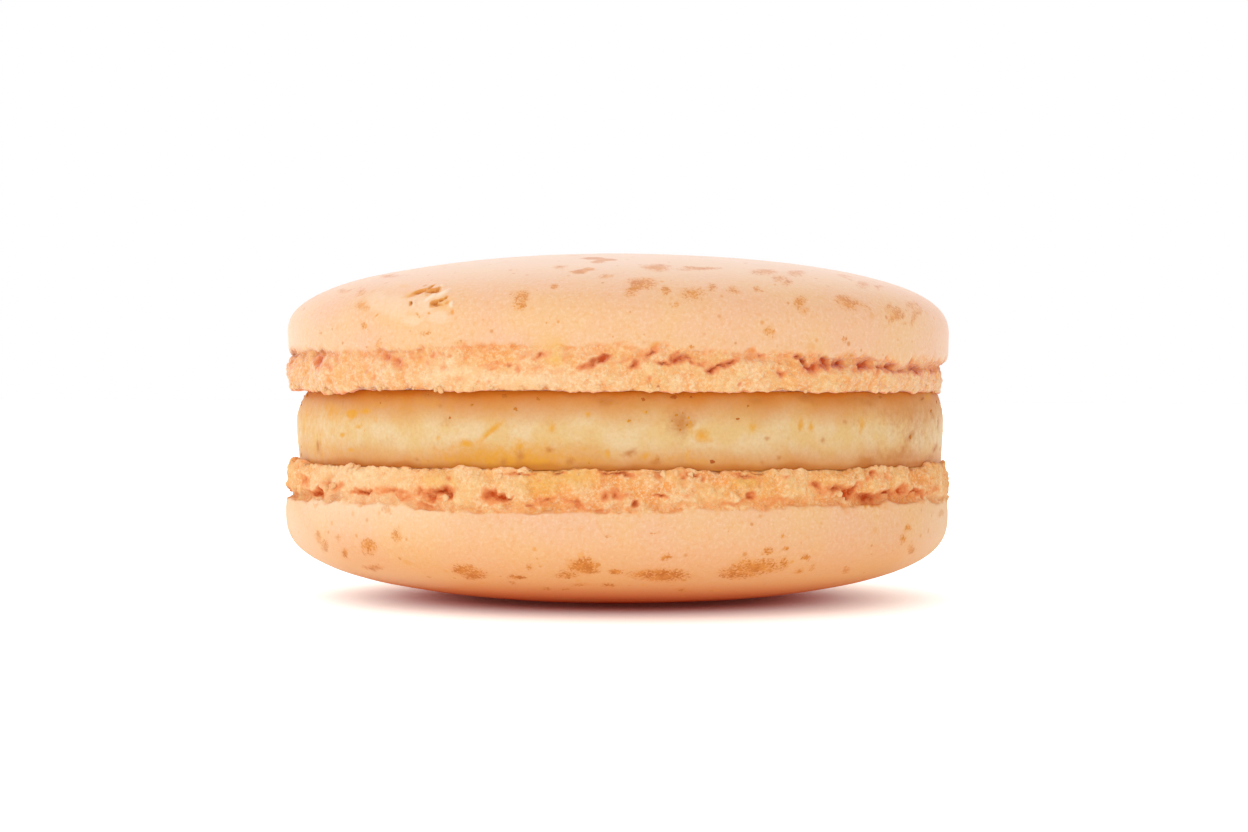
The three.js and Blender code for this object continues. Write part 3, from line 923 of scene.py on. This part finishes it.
def build_filling(camera):
    rows = filling_rows()
    azimuth, along = turned_rows(rows)
    faces = turned_faces(rows, False)
    level = np.clip(along - 1, 0, 1)
    side = filling_side(azimuth, level)
    height = FILLING_LOW.z + FILLING_THICKNESS * level
    smooth = around(azimuth, side, height)
    seen = SeenSurface(camera, smooth, faces)
    relief = 0.09 * layered_noise(smooth, 3.2 * MM, 910) + 0.008 * layered_noise(smooth, 0.9 * MM, 920)
    relief -= CREASE_DEPTH * smooth_step(0.4, 0.9, mark_share(smooth, seen.marks(CREAM_CREASES)))
    side = side + relief * MM
    # Painted shade along the filling's top and bottom, where the shells overhang it.
    wander = level + 0.07 * layered_noise(smooth, 2.2 * MM, 930)
    upper_painted_shade = np.clip((wander - 0.54) / 0.42, 0, 1) ** 0.9
    shares = {
        "yellow": mark_share(smooth, seen.marks(CREAM_YELLOW)),
        "brown": mark_share(smooth, seen.marks(CREAM_STAINS_AND_PAINTED_SHADE)),
        "edge": upper_painted_shade + np.clip((0.38 - wander) / 0.40, 0, 1) ** 1.2,
        # A thin line of painted shade at the bottom.
        "contact": smooth_step(0.11, 0.02, wander),
    }
    side = np.where(along < 1, side * along, np.where(along > 2, side * (3 - along), side))
    points = around(azimuth, side, height)
    piece = mesh_object("filling_visual", points, faces)
    for name, values in shares.items():
        store(piece, name, values)
    return piece, SeenSurface(camera, points, faces)


# ---------------------------------------------------------------------------------------------------
# Specks in the cream and crumbs at the feet: small lumps, joined into one piece for each kind.

# Specks that the photograph shows, as (column, row, width, height, tone), from 0, dark brown, to 1, amber.
CREAM_SPECKS = [
    (505, 396, 5, 4, 0.3), (538, 399, 5, 4, 0.3), (516, 408.5, 6, 4, 0.4), (643, 399, 5, 5, 0.1),
    (674, 397, 9, 4, 0.1), (691, 397, 5, 3, 0.1), (629, 421, 4, 3, 0.7), (712, 461, 7, 5, 0.0),
    (748, 406, 3, 3, 0.3), (738, 419, 4, 3, 0.2), (450, 418, 4, 3, 0.3), (472, 405, 4, 3, 0.5),
    (427, 395, 4, 3, 0.5), (380, 403, 2, 2, 0.3), (880, 397, 4, 3, 0.2), (910, 438, 3, 6, 0.3),
    (931, 411, 3, 5, 0.3), (922, 399, 4, 5, 0.2), (589, 463, 3, 3, 0.6), (676, 415, 3, 3, 0.5),
    (683, 413, 2, 2, 0.4), (688, 418, 3, 4, 0.8), (687, 425, 3, 3, 0.6), (680, 430, 3, 3, 0.4),
    (672, 421, 2, 2, 0.5), (683, 421, 2, 3, 0.6), (690, 422, 2, 4, 1.0), (678, 426, 2, 2, 0.5),
    (601, 402, 4, 3, 0.5), (611, 403, 5, 3, 0.6), (646, 412, 3, 3, 0.9), (592, 391.5, 8, 2, 0.1),
    (658, 459, 2, 4, 0.5),
]


def lump(detail):
    """The corners and faces of a ball, to be squeezed and roughened into small lumps."""
    mesh = bmesh.new()
    bmesh.ops.create_icosphere(mesh, subdivisions=detail, radius=1)
    corners = np.array([corner.co for corner in mesh.verts])
    faces = np.array([[corner.index for corner in face.verts] for face in mesh.faces])
    mesh.free()
    return corners, faces


def lumps_object(name, lumps, detail, roughness, seed):
    """One piece of many lumps, each (centre, its three half axes as rows, tone)."""
    corners, faces = lump(detail)
    all_points, all_faces, tones = [], [], []
    for index, (centre, axes, tone) in enumerate(lumps):
        offset = np.array([7.3 * index, 3.1, 1.7])  # so that no two are alike
        bumps = 1 + roughness * smooth_noise(corners + offset, 0.7, seed)
        all_points.append(centre + (corners * bumps[:, None]) @ axes)
        all_faces.append(faces + index * len(corners))
        tones.append(np.full(len(corners), tone))
    piece = mesh_object(name, np.concatenate(all_points), np.concatenate(all_faces).tolist())
    store(piece, "tone", np.concatenate(tones))
    return piece


SPECK_COUNT = 120  # with those of the photograph
SPECK_LEVELS = (FILLING_LOW.z + 0.3 * MM, FILLING_HIGH.z - 0.3 * MM)
SPECK_WIDTHS = (0.08, 0.2)  # half widths, in millimetres
SPECK_THICKNESS = 0.05 * MM  # half of it
SPECK_SINKING = 0.6  # how far its centre is under the cream, in thicknesses
SEEN_AZIMUTHS = (-math.pi + 0.35, -0.35)


def scattered_specks(seen, count):
    """Specks on the side that the photograph doesn't show, as (centre, across, up, tone)."""
    random = np.random.default_rng(31)
    specks = []
    while len(specks) < count:
        azimuth = random.uniform(-math.pi, math.pi)
        if SEEN_AZIMUTHS[0] < azimuth < SEEN_AZIMUTHS[1]:
            continue
        level = random.uniform(*SPECK_LEVELS)
        away = np.array([math.cos(azimuth), math.sin(azimuth), 0])
        start = Vector(away * 2 * FILLING_RADIUS) + Vector((0, 0, level))
        place, _, _, _ = seen.tree.ray_cast(start, Vector(-away))
        side = np.array([-away[1], away[0], 0])
        across, up = random.uniform(*SPECK_WIDTHS, 2) * MM
        specks.append((np.array(place), side * across, np.array([0, 0, up]), random.uniform(0, 1)))
    return specks


def build_specks(seen):
    specks = []
    for column, row, width, height, tone in CREAM_SPECKS:
        mark = seen.mark(column, row, width, height)
        specks.append((mark.centre, mark.across, mark.up, tone))
    specks += scattered_specks(seen, SPECK_COUNT - len(specks))
    lumps = []
    for centre, across, up, tone in specks:
        out = np.cross(across, up)
        out = out / np.linalg.norm(out)
        out = out * np.sign(out @ centre)
        axes = np.stack([across, up, SPECK_THICKNESS * out])
        lumps.append((centre - SPECK_SINKING * SPECK_THICKNESS * out, axes, tone))
    return lumps_object("cream_specks", lumps, 2, 0.45, 41)


def crumb_lump(place, normal, radius, random):
    """A crumb at a place, a little more than half of it standing out, flattened and turned at random."""
    axes = np.linalg.qr(random.normal(size=(3, 3)))[0]
    axes = axes * (radius * random.uniform(0.75, 1.1, 3))[:, None]
    return np.array(place) + 0.1 * radius * np.array(normal), axes, random.uniform(0, 1)


CRUMB_RADII = (0.06, 0.15)  # of the scattered ones, in millimetres
CRUMB_BAND = (0.05 * MM, 0.35 * MM)  # how far they are from the side of the shell that faces the filling


def foot_crumbs(camera, piece, places, levels, count, seed):
    """Crumbs on a foot, at the photograph's pixels and round the rest of the edge between two levels."""
    random = np.random.default_rng(seed)
    tree = BVHTree.FromObject(piece, bpy.context.evaluated_depsgraph_get())
    lumps = []
    for column, row, width in places:
        (direction,) = photo_rays(camera, [column], [row])
        place, normal, _, distance = tree.ray_cast(camera.location, Vector(direction))
        if place is not None:
            radius = width / 2 * distance / LENS * SENSOR_WIDTH / PHOTO_COLUMNS
            lumps.append(crumb_lump(place, normal, radius, random))
    for _ in range(count):
        azimuth = random.uniform(-math.pi, math.pi)
        away = Vector((math.cos(azimuth), math.sin(azimuth), 0))
        start = away * 2 * RIM_RADIUS + Vector((0, 0, random.uniform(*levels)))
        place, normal, _, _ = tree.ray_cast(start, -away)
        radius = random.uniform(*CRUMB_RADII) * MM
        lumps.append(crumb_lump(place, normal, radius, random))
    return lumps


def build_crumbs(camera, upper, lower):
    near, far = CRUMB_BAND
    upper_levels = (UPPER_LOW.z + near, UPPER_LOW.z + far)
    lower_levels = (LOWER_HIGH.z - far, LOWER_HIGH.z - near)
    lumps = foot_crumbs(camera, upper, UPPER_CRUMBS, upper_levels, 45, 51)
    lumps += foot_crumbs(camera, lower, LOWER_CRUMBS, lower_levels, 60, 52)
    return lumps_object("foot_crumbs", lumps, 3, 0.35, 61)


# ---------------------------------------------------------------------------------------------------
# Materials. Colors are linear.

DOT_EDGE = 0.02
SMALLEST_DOT = 0.35  # added to a random number from 0 to 1, it gives how large a dot is
DOT_CORE = 0.4  # the share of a dot's radius that has its full color


class Nodes:
    """The nodes of a material or of the world. Their inputs are sockets or plain values."""

    def __init__(self, tree, coords="Object"):
        self.tree = tree
        self.coords = self.add("TexCoord", {}).outputs[coords]

    def feed(self, socket, value):
        if isinstance(value, bpy.types.NodeSocket):
            self.tree.links.new(value, socket)
        elif isinstance(value, tuple) and len(value) == 3 and len(socket.default_value) == 4:
            socket.default_value = (*value, 1)
        else:
            socket.default_value = value

    def add(self, kind, inputs, **settings):
        made = self.tree.nodes.new("ShaderNode" + kind)
        for name, value in settings.items():
            setattr(made, name, value)
        for key, value in inputs.items():
            self.feed(made.inputs[key], value)
        return made

    def plus(self, first, second):
        return self.add("Math", {0: first, 1: second}, operation="ADD").outputs[0]

    def minus(self, first, second):
        return self.add("Math", {0: first, 1: second}, operation="SUBTRACT").outputs[0]

    def times(self, first, second):
        return self.add("Math", {0: first, 1: second}, operation="MULTIPLY").outputs[0]

    def ramp(self, value, low, high):
        """0 where the value is low, 1 where it is high, and smooth between."""
        inputs = {"Value": value, "From Min": low, "From Max": high}
        return self.add("MapRange", inputs, interpolation_type="SMOOTHSTEP").outputs["Result"]

    def blend(self, share, first, second):
        """A color between two others."""
        return self.add("Mix", {0: share, 6: first, 7: second}, data_type="RGBA").outputs[2]

    def between(self, share, first, second):
        """A number between two others."""
        return self.add("Mix", {0: share, 2: first, 3: second}, data_type="FLOAT").outputs[0]

    def tint(self, color, mask, amount, tint):
        """The color, turned to the tint by an amount where the mask is 1."""
        return self.blend(self.times(mask, amount), color, tint)

    def stored(self, name):
        """What store kept for each vertex."""
        return self.add("Attribute", {}, attribute_name=name).outputs["Fac"]

    def noise(self, size, seed, detail=2.0, rough=0.5):
        inputs = {"Vector": self.coords, "W": seed, "Scale": 1 / size, "Detail": detail, "Roughness": rough}
        return self.add("TexNoise", inputs, noise_dimensions="4D").outputs[0]

    def clouds(self, size, seed, detail, rough, start, full):
        """Where the noise is past start, and wholly where it is past full. The size is in millimetres."""
        return self.ramp(self.noise(size * MM, seed, detail, rough), start, full)

    def clouded(self, color, layers):
        """The color with layers of clouds over it."""
        for *clouds, amount, tint in layers:
            color = self.tint(color, self.clouds(*clouds), amount, tint)
        return color

    def cells(self, size, seed):
        """Distance to the nearest of a scatter of points, in sizes, and that point's random color."""
        shift = {0: self.coords, 1: (seed * size, 0, 0)}
        shifted = self.add("VectorMath", shift, operation="ADD").outputs[0]
        made = self.add("TexVoronoi", {"Vector": shifted, "Scale": 1 / size})
        return made.outputs["Distance"], made.outputs["Color"]

    def dots(self, size, seed, share, radius):
        """Small round dots: their mask and a random number for each. share of the cells have one."""
        distance, color = self.cells(size, seed)
        parts = self.add("SeparateColor", {"Color": color}).outputs
        present = self.ramp(parts[0], 1 - share, 1 - share + DOT_EDGE)
        reach = self.times(self.plus(parts[1], SMALLEST_DOT), radius / size)
        inside = self.ramp(distance, reach, self.times(reach, DOT_CORE))
        return self.times(inside, present), parts[2]

    def bump(self, surface, height):
        """Grain too fine for the mesh, from its height in metres."""
        made = self.add("Bump", {"Height": height, "Distance": 1.0, "Strength": 1.0})
        self.feed(surface.inputs["Normal"], made.outputs["Normal"])


SCATTER = (1.0, 0.36, 0.16)  # how far light spreads under the surface, for red, green and blue
SHEEN_ROUGHNESS = 0.45
SHEEN_TINT = (1.0, 0.92, 0.95, 1)


def new_material(name, subsurface=0.0, radius=1 * MM, sheen=0.0, specular=0.35):
    material = bpy.data.materials.new(name)
    material.use_nodes = True
    surface = material.node_tree.nodes["Principled BSDF"]
    surface.inputs["Subsurface Weight"].default_value = subsurface
    surface.inputs["Subsurface Radius"].default_value = SCATTER
    surface.inputs["Subsurface Scale"].default_value = radius
    surface.inputs["Sheen Weight"].default_value = sheen
    surface.inputs["Sheen Roughness"].default_value = SHEEN_ROUGHNESS
    surface.inputs["Specular IOR Level"].default_value = specular
    return material, Nodes(material.node_tree), surface


WHITE = (1.0, 1.0, 1.0)
CRUST_PEACH = (0.70, 0.41, 0.243)
CRUST_YELLOW = (0.70, 0.425, 0.213)
CRUST_PAINTED_SHEEN = (0.76, 0.60, 0.46)
CRUST_PAINTED_SHADE = (0.655, 0.285, 0.09)
CRUST_PAINTED_DEEP_SHADE = (0.57, 0.088, 0.012)
TOASTED = (0.52, 0.17, 0.02)
AMBER = (0.67, 0.28, 0.05)
# Darker, redder copies of the toasted colors: painted shade for the patches low on the lower dome.
TOASTED_IN_PAINTED_SHADE = (0.40, 0.09, 0.018)
AMBER_IN_PAINTED_SHADE = (0.62, 0.225, 0.055)
CRUMB_LIGHT = (0.79, 0.60, 0.37)
CRUMB_PALE = (0.73, 0.47, 0.24)
CRUMB_YELLOW = (0.72, 0.43, 0.15)
CRUMB_WARM = (0.71, 0.40, 0.18)
CRUMB_PAINTED_SHADE = (0.85, 0.22, 0.03)  # painted shade on the foot's edge towards the filling
CRUMB_ORANGE = (0.73, 0.275, 0.065)
SEAM_ORANGE = (0.70, 0.24, 0.08)
# Painted shade for the cores of the pits, in the crumb and in the crust.
HOLLOW_PAINTED_SHADE_RED = (0.52, 0.075, 0.010)
HOLLOW_PAINTED_SHADE_BROWN = (0.50, 0.16, 0.018)
ZEST_YELLOW = (0.71, 0.38, 0.085)
BLISTER_CREAM = (0.77, 0.60, 0.44)
# Heights over the floor between which the lower dome turns to its low colors. These are painted shade and
# painted bounce light, for the light that has bounced off the crust itself, darkest and reddest by the floor.
PAINTED_SHADE_LEVELS = (6.6 * MM, 1.0 * MM)
PAINTED_DEEP_SHADE_LEVELS = (2.6 * MM, 0.5 * MM)
# And those between which the upper dome turns paler: a painted sheen for the pale gleam over its top.
PAINTED_SHEEN_LEVELS = (UPPER_HIGH.z - 3.8 * MM, UPPER_HIGH.z - 0.2 * MM)

# Layers of clouds over a color, as (size in millimetres, seed, detail, roughness, the noise at which they
# start and at which they are full, amount, tint).
CRUST_CLOUDS = [
    (0.26, 2.0, 3, 0.7, 0.47, 0.68, 0.3, AMBER),
    (0.20, 3.0, 2, 0.7, 0.48, 0.66, 0.25, BLISTER_CREAM),
]
FOOT_CLOUDS = [
    (0.19, 6.2, 3, 0.7, 0.47, 0.60, 0.6, CRUMB_LIGHT),
    (0.24, 6.4, 3, 0.7, 0.52, 0.66, 0.6, CRUMB_ORANGE),
    (0.8, 6.5, 4, 0.6, 0.53, 0.68, 0.5, CRUMB_ORANGE),
    (2.4, 6.6, 3, 0.5, 0.42, 0.62, 0.35, CRUMB_YELLOW),
]


def crust_color(nodes):
    """The smooth crust: mottled and powdery peach with freckles and toasted patches, a painted sheen over the
    upper dome's top and painted shade low on the lower dome.
    """
    color = nodes.blend(nodes.clouds(5, 1.0, 3, 0.5, 0.36, 0.64), CRUST_PEACH, CRUST_YELLOW)
    color = nodes.clouded(color, CRUST_CLOUDS)
    level = nodes.add("SeparateXYZ", {"Vector": nodes.coords}).outputs["Z"]
    # low: painted shade and painted bounce light, growing towards the floor.
    low = nodes.ramp(level, *PAINTED_SHADE_LEVELS)
    # Painted sheen: the upper dome turns paler towards its top.
    color = nodes.tint(color, nodes.ramp(level, *PAINTED_SHEEN_LEVELS), 0.75, CRUST_PAINTED_SHEEN)
    color = nodes.tint(color, low, 0.85, CRUST_PAINTED_SHADE)
    color = nodes.tint(color, nodes.ramp(level, *PAINTED_DEEP_SHADE_LEVELS), 0.95, CRUST_PAINTED_DEEP_SHADE)
    freckle, number = nodes.dots(0.9 * MM, 3, 0.6, 0.18 * MM)
    color = nodes.tint(color, freckle, 0.7, nodes.blend(number, AMBER, TOASTED))
    freckle, _ = nodes.dots(2.1 * MM, 4, 0.5, 0.38 * MM)
    color = nodes.tint(color, freckle, 0.4, AMBER)
    # Low down the toasted colors turn to their painted-shade copies.
    toasted = nodes.blend(low, TOASTED, TOASTED_IN_PAINTED_SHADE)
    amber = nodes.blend(low, AMBER, AMBER_IN_PAINTED_SHADE)
    color = nodes.tint(color, nodes.ramp(nodes.stored("toast"), 0.1, 0.9), 0.5, amber)
    patch, lightness = toasted_patches(nodes)
    color = nodes.tint(color, patch, 0.9, nodes.blend(lightness, toasted, amber))
    color = nodes.tint(color, nodes.stored("zest"), 0.4, ZEST_YELLOW)
    return nodes.tint(color, nodes.stored("pale"), 0.85, BLISTER_CREAM)


def toasted_patches(nodes):
    """Where the crust is toasted, in grainy patches, and how light it is there."""
    grains = nodes.noise(0.15 * MM, 4.0, 2, 0.6)
    clouds = nodes.noise(0.8 * MM, 4.5, 5, 0.6)
    uneven = nodes.plus(nodes.times(grains, 2.8), nodes.times(clouds, 1.6))
    toast = nodes.stored("toast")
    patch = nodes.plus(toast, nodes.minus(uneven, 2.27))
    patch = nodes.times(nodes.ramp(patch, 0.3, 0.95), nodes.ramp(toast, 0.1, 0.45))
    return patch, nodes.clouds(0.6, 5.0, 4, 0.6, 0.68, 0.24)


def foot_color(nodes, painted_shade_tint):
    """The spongy foot: pale grains with orange between them, partly painted shade in the hollows of its
    relief.
    """
    sponge = nodes.clouds(0.42, 6.0, 4, 0.65, 0.60, 0.38)
    # Painted shade: orange where the relief is low.
    sunk = nodes.plus(nodes.times(nodes.stored("cavity"), 0.75), nodes.times(sponge, 0.3))
    color = nodes.clouded(nodes.blend(sunk, CRUMB_PALE, CRUMB_ORANGE), FOOT_CLOUDS)
    torn = nodes.times(nodes.stored("seam"), nodes.clouds(0.6, 6.8, 4, 0.65, 0.36, 0.62))
    color = nodes.tint(color, torn, 0.5, SEAM_ORANGE)
    pinhole, _ = nodes.dots(0.5 * MM, 7, 0.5, 0.09 * MM)
    color = nodes.tint(color, pinhole, 0.7, SEAM_ORANGE)
    color = nodes.tint(color, nodes.stored("zest"), 0.75, ZEST_YELLOW)
    color = nodes.tint(color, nodes.stored("pale"), 0.5, CRUMB_LIGHT)
    # Painted shade on the foot's edge towards the filling.
    return nodes.tint(color, nodes.stored("under"), painted_shade_tint, CRUMB_PAINTED_SHADE)


def shell_material(name, sheen, specular, painted_shade_tint):
    material, nodes, surface = new_material(name, 0.1, 0.5 * MM, sheen, specular)
    surface.inputs["Sheen Tint"].default_value = SHEEN_TINT
    crumb = nodes.stored("crumb")
    uneven = nodes.plus(nodes.times(nodes.noise(0.3 * MM, 9.5, 3, 0.6), 1.4), 0.35)
    hollow = nodes.times(nodes.stored("hollow"), uneven)
    color = nodes.blend(crumb, crust_color(nodes), foot_color(nodes, painted_shade_tint))
    # Painted shade over the real pits and the blister's openings: orange at their rims, red-brown in their
    # cores.
    rim = nodes.ramp(hollow, 0.06, 0.50)
    color = nodes.tint(color, rim, 0.9, nodes.blend(crumb, AMBER, SEAM_ORANGE))
    core = nodes.ramp(hollow, 0.38, 1.0)
    color = nodes.tint(color, core, 1.0, nodes.blend(crumb, HOLLOW_PAINTED_SHADE_BROWN, HOLLOW_PAINTED_SHADE_RED))
    nodes.feed(surface.inputs["Base Color"], color)
    nodes.feed(surface.inputs["Roughness"], nodes.between(crumb, 0.6, 0.85))

    skin = nodes.times(nodes.noise(0.22 * MM, 8.0, 3), 0.03 * MM)
    distance, _ = nodes.cells(0.2 * MM, 9)
    sponge = nodes.times(nodes.noise(0.15 * MM, 9.0, 3, 0.6), 0.06 * MM)
    sponge = nodes.minus(sponge, nodes.times(distance, 0.055 * MM))
    grain = nodes.between(crumb, skin, sponge)
    nodes.bump(surface, nodes.between(nodes.stored("under"), grain, 0.0))
    return material


CREAM_PALE = (0.645, 0.475, 0.26)
CREAM_WARM = (0.63, 0.42, 0.175)
# Painted shade, where the filling meets the shells.
CREAM_PAINTED_SHADE = (0.53, 0.165, 0.010)
CREAM_ZEST = (0.64, 0.285, 0.008)
CREAM_SHADE = (0.46, 0.165, 0.03)
CREAM_PAINTED_CONTACT_SHADE = (0.42, 0.115, 0.006)  # painted shade where it meets the lower shell
SPECK_DARK = (0.36, 0.075, 0.01)
SPECK_AMBER = (0.64, 0.28, 0.02)


def cream_material():
    material, nodes, surface = new_material("buttercream", 0.35, 0.8 * MM, 0.0, 0.2)
    color = nodes.blend(nodes.clouds(2, 11.0, 4, 0.6, 0.38, 0.62), CREAM_WARM, CREAM_PALE)
    # Painted shade along the top and bottom edges.
    color = nodes.tint(color, nodes.stored("edge"), 1.0, CREAM_PAINTED_SHADE)
    soft = nodes.noise(0.5 * MM, 12.0, 3, 0.6)
    wobble = nodes.times(nodes.minus(soft, 0.5), 1.3)
    # The brown marks are stains, and painted shade at the right end.
    for name, start, tint in (("yellow", 0.05, CREAM_ZEST), ("brown", 0.1, CREAM_SHADE)):
        stain = nodes.ramp(nodes.plus(nodes.stored(name), wobble), start, 1.1)
        color = nodes.tint(color, stain, 0.85, tint)
    speck, number = nodes.dots(1.3 * MM, 13, 0.35, 0.13 * MM)
    tone = nodes.blend(nodes.ramp(number, 0.4, 0.6), CREAM_SHADE, CREAM_ZEST)
    color = nodes.tint(color, speck, 0.45, tone)
    color = nodes.clouded(color, [(0.20, 15.0, 2, 0.6, 0.35, 0.7, 0.15, CREAM_SHADE)])
    # A thin line of painted shade where the filling meets the lower shell.
    color = nodes.tint(color, nodes.stored("contact"), 0.6, CREAM_PAINTED_CONTACT_SHADE)
    nodes.feed(surface.inputs["Base Color"], color)
    nodes.feed(surface.inputs["Roughness"], nodes.between(soft, 0.38, 0.6))
    nodes.bump(surface, nodes.times(nodes.noise(0.35 * MM, 14.0, 3), 0.035 * MM))
    return material


def toned_material(name, dark, light, roughness):
    """For small lumps, each of which keeps its own tone."""
    material, nodes, surface = new_material(name, specular=0.15)
    grain = nodes.times(nodes.noise(0.12 * MM, 21.0), 0.4)
    tone = nodes.minus(nodes.plus(nodes.stored("tone"), grain), 0.2)
    nodes.feed(surface.inputs["Base Color"], nodes.blend(tone, dark, light))
    surface.inputs["Roughness"].default_value = roughness
    return material


# ---------------------------------------------------------------------------------------------------
# The studio.

FLOOR_SIZE = 6.0
FLOOR_DROP = 0.01 * MM  # so that it doesn't touch the macaron's flat spot
FLOOR_PAINTED_GLOW = 0.4  # painted light: how much the floor glows, from PAINTED_GLOW_FROM the macaron's axis outwards, leaving a painted shadow round it
PAINTED_GLOW_FROM = (8 * MM, 20 * MM)
GLOW_NARROWING = 0.9  # the painted shadow is wider to the sides
PAINTED_NEAR_GLOW = 0.024  # a painted glow under the macaron too, where it stands for the light that comes through the crust
FLOOR_WHITE = (0.88, 0.96, 1.0)
FLOOR_PAINTED_BOUNCE = (1.0, 0.86, 0.80)  # painted bounce light: the floor under the macaron, where it takes up the crust's color
# A painted reddish glow close under the macaron, as if bounced off the crust.
FLOOR_PAINTED_BLUSH = (1.0, 0.22, 0.16)
PAINTED_BOUNCE_FROM = (9 * MM, 16 * MM)
PAINTED_BLUSH_FROM = (9 * MM, 15 * MM)
LOW_SKY = 1.40  # how bright the tent round the macaron is, up to HIGH_SKY_FROM
HIGH_SKY = 1.09
HIGH_SKY_FROM = (math.radians(38), math.radians(60))
RIGHT_SHARE = 0.54  # how bright the tent is at the right, of what it is in front
LEFT_SHARE = 0.92  # and at the left
SIDES_FROM = -0.2  # how far past the middle, of the way to one side, the tent starts to dim to the other
AMBIENT_COLOR = (1.0, 0.96, 0.94)
RIGHT_COLOR = (1.0, 0.82, 0.70)  # high up at the right
# Very soft lamps far off: (name, direction it comes from, irradiance, apparent size in degrees, color).
LAMPS = [
    ("front", (-0.25, -1.0, 0.62), 0.35, 50, (0.94, 1.0, 1.04)),
    ("overhead", (-0.3, 0.1, 1.0), 0.17, 50, (0.85, 1.0, 1.12)),
]


def floor_material():
    material, nodes, surface = new_material("floor_white", specular=0.2)
    surface.inputs["Roughness"].default_value = 0.9
    # Painted light and shadow: the floor's tint and glow change with the distance from the macaron's axis.
    oval = {0: nodes.coords, 1: (GLOW_NARROWING, 1, 1)}
    oval = nodes.add("VectorMath", oval, operation="MULTIPLY").outputs[0]
    distance = nodes.add("VectorMath", {0: oval}, operation="LENGTH").outputs["Value"]
    color = nodes.blend(nodes.ramp(distance, *PAINTED_BOUNCE_FROM), FLOOR_PAINTED_BOUNCE, FLOOR_WHITE)
    nodes.feed(surface.inputs["Base Color"], color)
    painted_blush = nodes.blend(nodes.ramp(distance, *PAINTED_BLUSH_FROM), FLOOR_PAINTED_BLUSH, WHITE)
    nodes.feed(surface.inputs["Emission Color"], painted_blush)
    painted_glow = nodes.between(nodes.ramp(distance, *PAINTED_GLOW_FROM), PAINTED_NEAR_GLOW, FLOOR_PAINTED_GLOW)
    nodes.feed(surface.inputs["Emission Strength"], painted_glow)
    return material


def add_floor():
    half = FLOOR_SIZE / 2
    corners = [(x * half, y * half, -FLOOR_DROP) for x, y in ((-1, -1), (1, -1), (1, 1), (-1, 1))]
    floor = mesh_object("floor", corners, [(0, 1, 2, 3)])
    floor.data.materials.append(floor_material())


def add_world():
    """White as seen. As light, a slightly warm tent: brighter low down than overhead, and dimmer at the
    sides than in front, most of all at the right."""
    world = bpy.data.worlds.new("studio")
    world.use_nodes = True
    nodes = Nodes(world.node_tree, "Generated")
    background = world.node_tree.nodes["Background"]
    seen = nodes.add("LightPath", {}).outputs["Is Camera Ray"]
    parts = nodes.add("SeparateXYZ", {"Vector": nodes.coords}).outputs
    warm = nodes.times(nodes.ramp(parts["X"], 0.0, 1.0), nodes.ramp(parts["Z"], 0.0, 0.5))
    color = nodes.blend(warm, AMBIENT_COLOR, RIGHT_COLOR)
    nodes.feed(background.inputs["Color"], nodes.blend(seen, color, WHITE))
    high = nodes.ramp(parts["Z"], *(math.sin(angle) for angle in HIGH_SKY_FROM))
    strength = nodes.between(high, LOW_SKY, HIGH_SKY)
    for toward, share in ((1.0, RIGHT_SHARE), (-1.0, LEFT_SHARE)):
        side = nodes.between(nodes.ramp(parts["X"], SIDES_FROM * toward, toward), 1.0, share)
        strength = nodes.times(strength, side)
    nodes.feed(background.inputs["Strength"], nodes.between(seen, strength, 1.0))
    bpy.context.scene.world = world
    bpy.context.scene.view_settings.view_transform = "Standard"


def add_lights():
    for name, direction, irradiance, size, color in LAMPS:
        data = bpy.data.lights.new(name, "SUN")
        data.energy = irradiance
        data.angle = math.radians(size)
        data.color = color
        lamp = bpy.data.objects.new(name, data)
        lamp.location = direction
        lamp.rotation_euler = (-Vector(direction)).to_track_quat("-Z", "Y").to_euler()
        bpy.context.scene.collection.objects.link(lamp)


# ---------------------------------------------------------------------------------------------------
# The scene.


def finish_piece(piece, material, node_name=None):
    piece.data.materials.append(material)
    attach(piece, "root")
    if node_name:
        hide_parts(node_name)


camera = add_camera()
add_world()
add_floor()
add_lights()

shell_top = build_shell(UPPER, camera, UPPER_LOOKS, blistered=True)
upper_crust = shell_material("upper_crust", sheen=0.45, specular=0.15, painted_shade_tint=0.8)
finish_piece(shell_top, upper_crust, "shell_top")
shell_bottom = build_shell(LOWER, camera, LOWER_LOOKS)
# The lower dome has no powdery gleam, as it faces the floor.
lower_crust = shell_material("lower_crust", sheen=0.0, specular=0.03, painted_shade_tint=0.3)
finish_piece(shell_bottom, lower_crust, "shell_bottom")

filling, filling_seen = build_filling(camera)
finish_piece(filling, cream_material(), "filling")

specks = build_specks(filling_seen)
finish_piece(specks, toned_material("cream_specks", SPECK_DARK, SPECK_AMBER, 0.6))
crumbs = build_crumbs(camera, shell_top, shell_bottom)
finish_piece(crumbs, toned_material("foot_crumbs", CRUMB_WARM, CRUMB_PALE, 0.85))
